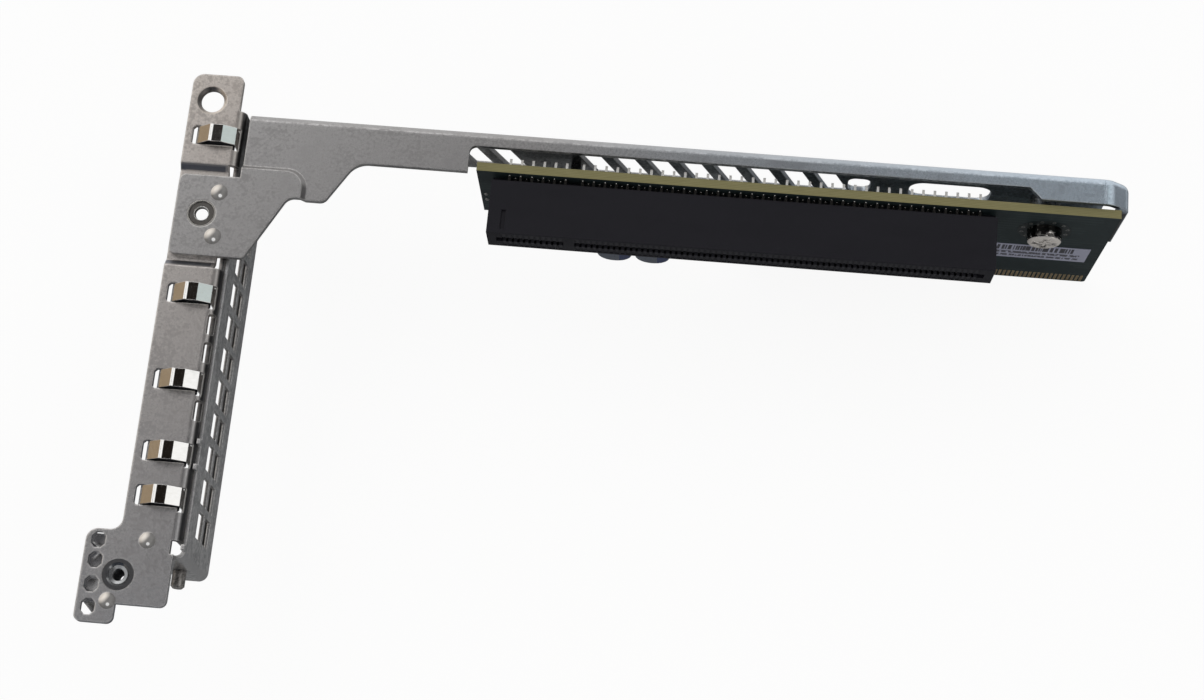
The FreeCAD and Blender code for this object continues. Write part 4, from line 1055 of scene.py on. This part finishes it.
pad = bmesh.new()
flat_ring(pad, PAD_IN, PAD_HALF, PAD_RISE, screw_foot, 48)
pad_mask = moulded("pad_mask", (0.009, 0.013, 0.014), (0.017, 0.023, 0.024), (0.36, 0.50), 0.03 * MM)
piece("screw_pad", pad, pad_mask)

dull_tin = plated("dull_tin", (0.22, 0.22, 0.21), (0.40, 0.40, 0.38), (0.30, 0.44), EVERY_WAY,
                  edge=0.03 * MM)
vias = bmesh.new()
for number in range(VIA_COUNT):
    turn = math.tau * (number + 0.5) / VIA_COUNT
    offset = Vector((math.cos(turn), 0, math.sin(turn))) * VIA_CIRCLE
    flat_ring(vias, VIA_HALF * 0.5, VIA_HALF, PAD_RISE * 2, Vector(screw_foot) + offset, 12)
piece("pad_vias", vias, dull_tin)

# %% Capacitor cups with a crimped neck and a round rim
NECK = ((0.96, 0), (1, 0.5 * MM), (1, 1.0 * MM), (0.90, 1.4 * MM), (1, 1.8 * MM))
CUP_ROUND = 0.45 * MM
for number in (1, 2):
    low, high, middle = span(f"capacitor_{number}_can")
    half = (high.x - low.x) / 2
    tall = high.y - low.y
    profile = [(0, 0)] + [(half * share, height) for share, height in NECK]
    profile += [(half, tall), (half * 0.8, tall), (0, tall)]
    cup_mesh = bmesh.new()
    spin_profile(cup_mesh, profile, (middle.x, high.y, middle.z), OUT_OF_FRONT)

    def on_rim(edge):
        return all(abs(v.co.y - low.y) < TOUCH
                   and math.hypot(v.co.x - middle.x, v.co.z - middle.z) > half * 0.9 for v in edge.verts)

    round_rim(cup_mesh, CUP_ROUND, 4, on_rim)
    finish = cup(f"can_{number}_cup", f"capacitor_{number}_can")
    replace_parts(piece(f"capacitor_{number}_cup", cup_mesh, finish), f"capacitor_{number}_can")

# %% Hollow rivet, open below
RIVET_HALF = (rivet_high.x - rivet_low.x) / 2
RIVET_TALL = rivet_high.z - rivet_low.z
RING_SINK = 0.3 * MM
MOUTH_OUT = 1.27 * MM
LIP_IN = 1.08 * MM
LIP_DROP = 0.8 * MM
FLARE = 1.75 * MM
rivet = bmesh.new()
spin_profile(rivet, [
    (FLARE, -RIVET_TALL), (RIVET_HALF, -RIVET_TALL), (RIVET_HALF, 0), (RIVET_HALF - 0.2 * MM, 0),
    (RIVET_HALF - 0.4 * MM, -RING_SINK), (MOUTH_OUT, -RING_SINK), (MOUTH_OUT, -LIP_DROP + 0.05 * MM),
    (LIP_IN, -LIP_DROP), (FLARE, -RIVET_TALL),
], (rivet_middle.x, rivet_middle.y, SHEET_TOP), UP)
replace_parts(piece("hollow_rivet", rivet, rivet_metal), "joint_rivet")

# %% Bright eyelet in the rivet's ring
EYELET_IN = 1.20 * MM
EYELET_OUT = 1.40 * MM
EYELET_RISE = 0.12 * MM
EYELET_ROUND = 0.06 * MM
eyelet = bmesh.new()
spin_profile(eyelet, [
    (EYELET_IN, -EYELET_RISE), (EYELET_OUT, -EYELET_RISE), (EYELET_OUT, 0),
    (EYELET_OUT - EYELET_ROUND, EYELET_RISE), (EYELET_IN + EYELET_ROUND, EYELET_RISE),
    (EYELET_IN, 0), (EYELET_IN, -EYELET_RISE),
], (rivet_middle.x, rivet_middle.y, SHEET_TOP - RING_SINK), UP, steps=32)
piece("rivet_eyelet", eyelet, nickel)

# %% Collar and thread in the nut
BORE_HALF = 1.5 * MM
THREAD_OUT = 1.25 * MM
THREAD_IN = 1.0 * MM
THREAD_PITCH = 0.5 * MM
THREAD_START = 0.2 * MM
COLLAR_TOP = nut_high.z - 0.35 * MM
thread_turns = int((COLLAR_TOP - nut_low.z) / THREAD_PITCH) - 1
teeth = [(BORE_HALF + 0.1 * MM, 0), (THREAD_OUT, -0.12 * MM)]
for number in range(thread_turns):
    start = THREAD_START + number * THREAD_PITCH
    teeth += [(THREAD_IN, -start), (THREAD_OUT, -start - THREAD_PITCH / 2)]
teeth.append((BORE_HALF, -thread_turns * THREAD_PITCH - THREAD_START))
thread = bmesh.new()
spin_profile(thread, teeth, (nut_middle.x, nut_middle.y, COLLAR_TOP), UP, steps=32)
piece("nut_thread", thread, nut_metal, smooth_angle=20)

# %% [markdown]
# ## Sprung clips
# Each clip is a narrow strip of springy steel, folded into a hump that stands up through a slot in the
# flange. Seen from its side, the strip is one bent line: a free end in the slot, a ramp, a low ridge, a
# flat, a second ramp and a leg down the wall. So a few vertices give the line, one extrusion gives the
# strip its width, and solidify gives it its thickness. A dark leaf below each hump stands in for the
# shade there: painted shade.

# %% Clips from a bent line: millimetres to the right of the free end and below the ridge
CLIPS = range(1, 6)
CLIP_THICK = 0.2 * MM
RAMP_LINE = ((0.0, 2.8), (0.25, 2.05), (2.8, 0.1), (3.05, 0.0), (3.35, 0.2), (5.05, 0.2))
LEG_FROM = 1.3 * MM
for number in CLIPS:
    low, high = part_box(f"spring_clip_{number}")
    line = [(low.x + right * MM, high.z - down * MM) for right, down in RAMP_LINE]
    line += [(high.x, high.z - LEG_FROM), (high.x, low.z)]
    strip = bmesh.new()
    bends = [strip.verts.new((x, low.y, z)) for x, z in line]
    near = [strip.edges.new(pair) for pair in zip(bends, bends[1:])]
    far = verts_of(bmesh.ops.extrude_edge_only(strip, edges=near)["geom"])
    bmesh.ops.translate(strip, vec=(0, high.y - low.y, 0), verts=far)
    bmesh.ops.recalc_face_normals(strip, faces=strip.faces)
    if sum(face.normal.z for face in strip.faces) < 0:
        bmesh.ops.reverse_faces(strip, faces=strip.faces)
    bmesh.ops.solidify(strip, geom=strip.faces, thickness=CLIP_THICK)
    clip = piece(f"sprung_clip_{number}", strip, nickel, smooth_angle=8)
    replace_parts(clip, f"spring_clip_{number}")

# %% Dark leaves under the clips, as painted shade
LEAF_THICK = 0.15 * MM
LEAF_INSET = 0.3 * MM
LEAF_WIDER = 1.3
LEAF_LEVEL = SHEET_TOP - SHEET - 0.05 * MM - LEAF_THICK / 2


def add_box(bm, middle, size):
    box = bmesh.ops.create_cube(bm, size=1.0)["verts"]
    bmesh.ops.scale(bm, vec=size, verts=box)
    bmesh.ops.translate(bm, vec=middle, verts=box)


shade_leaves = bmesh.new()
for number in CLIPS:
    low, high, middle = span(f"spring_clip_{number}")
    size = (high.x - low.x - 2 * LEAF_INSET, (high.y - low.y) * LEAF_WIDER, LEAF_THICK)
    add_box(shade_leaves, (middle.x, middle.y, LEAF_LEVEL), size)
# A dark sheet under each hump that stands in for the shade there.
leaf_painted_shade = plated("leaf_painted_shade", (0.030, 0.031, 0.035), (0.065, 0.066, 0.072), (0.35, 0.50), ALONG_X)
piece("clip_shade_leaves", shade_leaves, leaf_painted_shade)

# %% [markdown]
# ## Folded end of the arm
# At the right end, the flange goes down in a slope before it turns into the end wall, and the slope,
# the back wall and the end wall meet in a drawn corner. The solid model has a plain fold there, and its
# slits and holes are a little short. So the arm is a copy of the solid's mesh: the rims of the openings
# are moved to their full length, and the last few millimetres are cut off. The new end is a prism: a
# few vertices give its outline, one extrusion its width, a bevel rounds the folds, the open sides are
# taken off, and solidify gives what is left the thickness of the sheet.

# %% Arm with its openings at full length: span along X, span of height and step, in millimetres
SLIT_FEET = ((-84.0, -14.0), (21.3, 21.5), (0.53, 0.0, -1.4))
OVAL_FOOT = ((-15.5, -11.3), (23.6, 25.2), (0.4, 0.0, -2.2))
OVAL_HEAD = ((-15.5, -11.3), (25.2, 26.8), (0.4, 0.0, 0.5))
WINDOW_FOOT = ((-4.1, 10.7), (21.8, 24.7), (0.0, 0.0, -1.8))
WALL_INSIDE = arm_high.y - 1.2 * SHEET
JOIN_Z = ARM_TOP - SLOPE_DROP - 2.0 * MM

arm = bmesh.new()
arm.from_mesh(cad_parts["arm_bracket"].data)
bmesh.ops.remove_doubles(arm, verts=arm.verts, dist=TOUCH)
for (left, right), (low, high), step in (SLIT_FEET, OVAL_FOOT, OVAL_HEAD, WINDOW_FOOT):
    rim = [v for v in arm.verts if v.co.y > WALL_INSIDE
           and left < v.co.x / MM < right and low < v.co.z / MM < high]
    bmesh.ops.translate(arm, vec=Vector(step) * MM, verts=rim)

# %% Arm without its last few millimetres
for place, way in (((JOIN_X, 0, 0), (1, 0, 0)), ((0, 0, JOIN_Z), UP)):
    bmesh.ops.bisect_plane(arm, geom=everything(arm), plane_co=place, plane_no=way)
end_near = min(v.co.y for v in arm.verts if v.co.x > arm_high.x - SHEET)
gone = [face for face in arm.faces
        if face.calc_center_median().x > JOIN_X and face.calc_center_median().z > JOIN_Z]
bmesh.ops.delete(arm, geom=gone, context="FACES")
bmesh.ops.holes_fill(arm, edges=[edge for edge in arm.edges if edge.is_boundary], sides=0)
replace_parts(piece("arm_sheet", arm, arm_zinc, even_shading=True), "arm_bracket")

# %% Sloping end with its drawn corner
BEND_OUTER = 1.6 * MM
RIDGE_ROUND = 0.9 * MM
HAIR = 0.005 * MM
OPEN_SIDES = ((0, JOIN_X), (2, JOIN_Z), (1, end_near))
top = ARM_TOP - HAIR
outline = [(JOIN_X, JOIN_Z), (JOIN_X, top), (arm_high.x - SLOPE_RUN, top), (arm_high.x, top - SLOPE_DROP),
           (arm_high.x, JOIN_Z)]
end = bmesh.new()
side = end.faces.new([end.verts.new((x, end_near, z)) for x, z in outline])
far_side = verts_of(bmesh.ops.extrude_face_region(end, geom=[side])["geom"])
bmesh.ops.translate(end, vec=(0, arm_high.y - end_near, 0), verts=far_side)
bmesh.ops.recalc_face_normals(end, faces=end.faces)


def lies_on(item, axis, level):
    return all(abs(v.co[axis] - level) < SAME for v in item.verts)


def on_open_side(item):
    return any(lies_on(item, axis, level) for axis, level in OPEN_SIDES)


def is_ridge(edge):
    first, second = edge.verts
    return not on_open_side(edge) and abs(first.co.y - second.co.y) > SHEET


round_rim(end, RIDGE_ROUND, 4, is_ridge)
round_rim(end, BEND_OUTER, 6, lambda edge: lies_on(edge, 1, arm_high.y) and not on_open_side(edge))
bmesh.ops.delete(end, geom=[face for face in end.faces if on_open_side(face)], context="FACES")
bmesh.ops.recalc_face_normals(end, faces=end.faces)
bmesh.ops.solidify(end, geom=end.faces, thickness=SHEET)
piece("arm_end", end, arm_zinc, even_shading=True)

# %% [markdown]
# ## Solder
# Every contact of the slot goes through the board and is soldered on the far side. On the near side a
# little solder wicks through and stands as a bead round each pin. Beads are low caps and the joints
# behind are small cones. There are many of them, so each has few faces. Their places follow from the
# slot: two rows on each side of its middle, where every other contact stands in the outer row. The two
# groups of contacts also give the lips, thin bars just inside the slot's front that keep the contacts'
# noses back.

# %% Places of the contacts
slot_low, slot_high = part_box("slot_housing")
contact_low, contact_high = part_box("contacts_upper")
PITCH = 1.0 * MM
CONTACT_HALF = 0.225 * MM
FIRST_GROUP = 11
KEY_SKIP = 3
SECOND_START = FIRST_GROUP + KEY_SKIP - 1
ROW_INNER = 1.25 * MM
ROW_OUTER = 2.35 * MM
slot_level = (slot_low.z + slot_high.z) / 2
first_contact = contact_low.x + CONTACT_HALF
contact_count = round((contact_high.x - contact_low.x - 2 * CONTACT_HALF) / PITCH) + 1
places = []
for step in range(contact_count):
    if FIRST_GROUP <= step < SECOND_START:
        continue
    in_group = step if step < FIRST_GROUP else step - SECOND_START
    row = ROW_OUTER if in_group % 2 == 0 else ROW_INNER
    for side in (1, -1):
        places.append((first_contact + step * PITCH, slot_level + side * row))
print("contacts:", len(places))

# %% Beads in front, cones behind
BEAD = (0.40 * MM, 0.16 * MM)
CONE_FOOT = 0.5 * MM
CONE_TIP = 0.24 * MM
CONE_TALL = 0.5 * MM
BACKWARD = Matrix.Rotation(math.radians(-90), 4, "X")
beads = bmesh.new()
cones = bmesh.new()
for x, z in places:
    add_cap(beads, (x, FRONT, z), *BEAD, OUT_OF_FRONT, segments=8)
    joint = bmesh.ops.create_cone(cones, cap_ends=True, segments=8, radius1=CONE_FOOT, radius2=CONE_TIP,
                                  depth=CONE_TALL)
    lay = Matrix.Translation((x, board_high.y + CONE_TALL / 2, z)) @ BACKWARD
    bmesh.ops.transform(cones, matrix=lay, verts=joint["verts"])
piece("solder_beads", beads, solder)
piece("solder_cones", cones, solder)

# %% Lips in front of the contacts
CAVITY_REACH = 2.65 * MM
MOUTH_HALF = 0.9 * MM
LIP_SINK = 0.12 * MM
LIP_DEEP = 0.6 * MM
LIP_OVER = 0.4 * MM
lip_depth = slot_low.y + LIP_SINK + LIP_DEEP / 2
lips = bmesh.new()
for start, stop in ((0, FIRST_GROUP - 1), (SECOND_START, contact_count - 1)):
    left = first_contact + start * PITCH - LIP_OVER
    right = first_contact + stop * PITCH + LIP_OVER
    for side in (1, -1):
        level = slot_level + side * (CAVITY_REACH + MOUTH_HALF) / 2
        size = (right - left, LIP_DEEP, CAVITY_REACH - MOUTH_HALF)
        add_box(lips, ((left + right) / 2, lip_depth, level), size)
# The lips are a lighter black than the slot: painted light where the mouth catches light.
lip_lit_black = moulded("lip_lit_black", (0.017, 0.017, 0.022), (0.028, 0.028, 0.034), (0.46, 0.60), 0.08 * MM)
piece("slot_lips", lips, lip_lit_black)

# %% Two joints by the board's left edge
EDGE_JOINTS = ((-80.05 * MM, 22.0 * MM), (-80.05 * MM, 19.4 * MM))
EDGE_CAP = (0.8 * MM, 0.3 * MM)
joints = bmesh.new()
for x, z in EDGE_JOINTS:
    add_cap(joints, (x, FRONT, z), *EDGE_CAP, OUT_OF_FRONT, segments=16)
piece("edge_joints", joints, dull_tin)
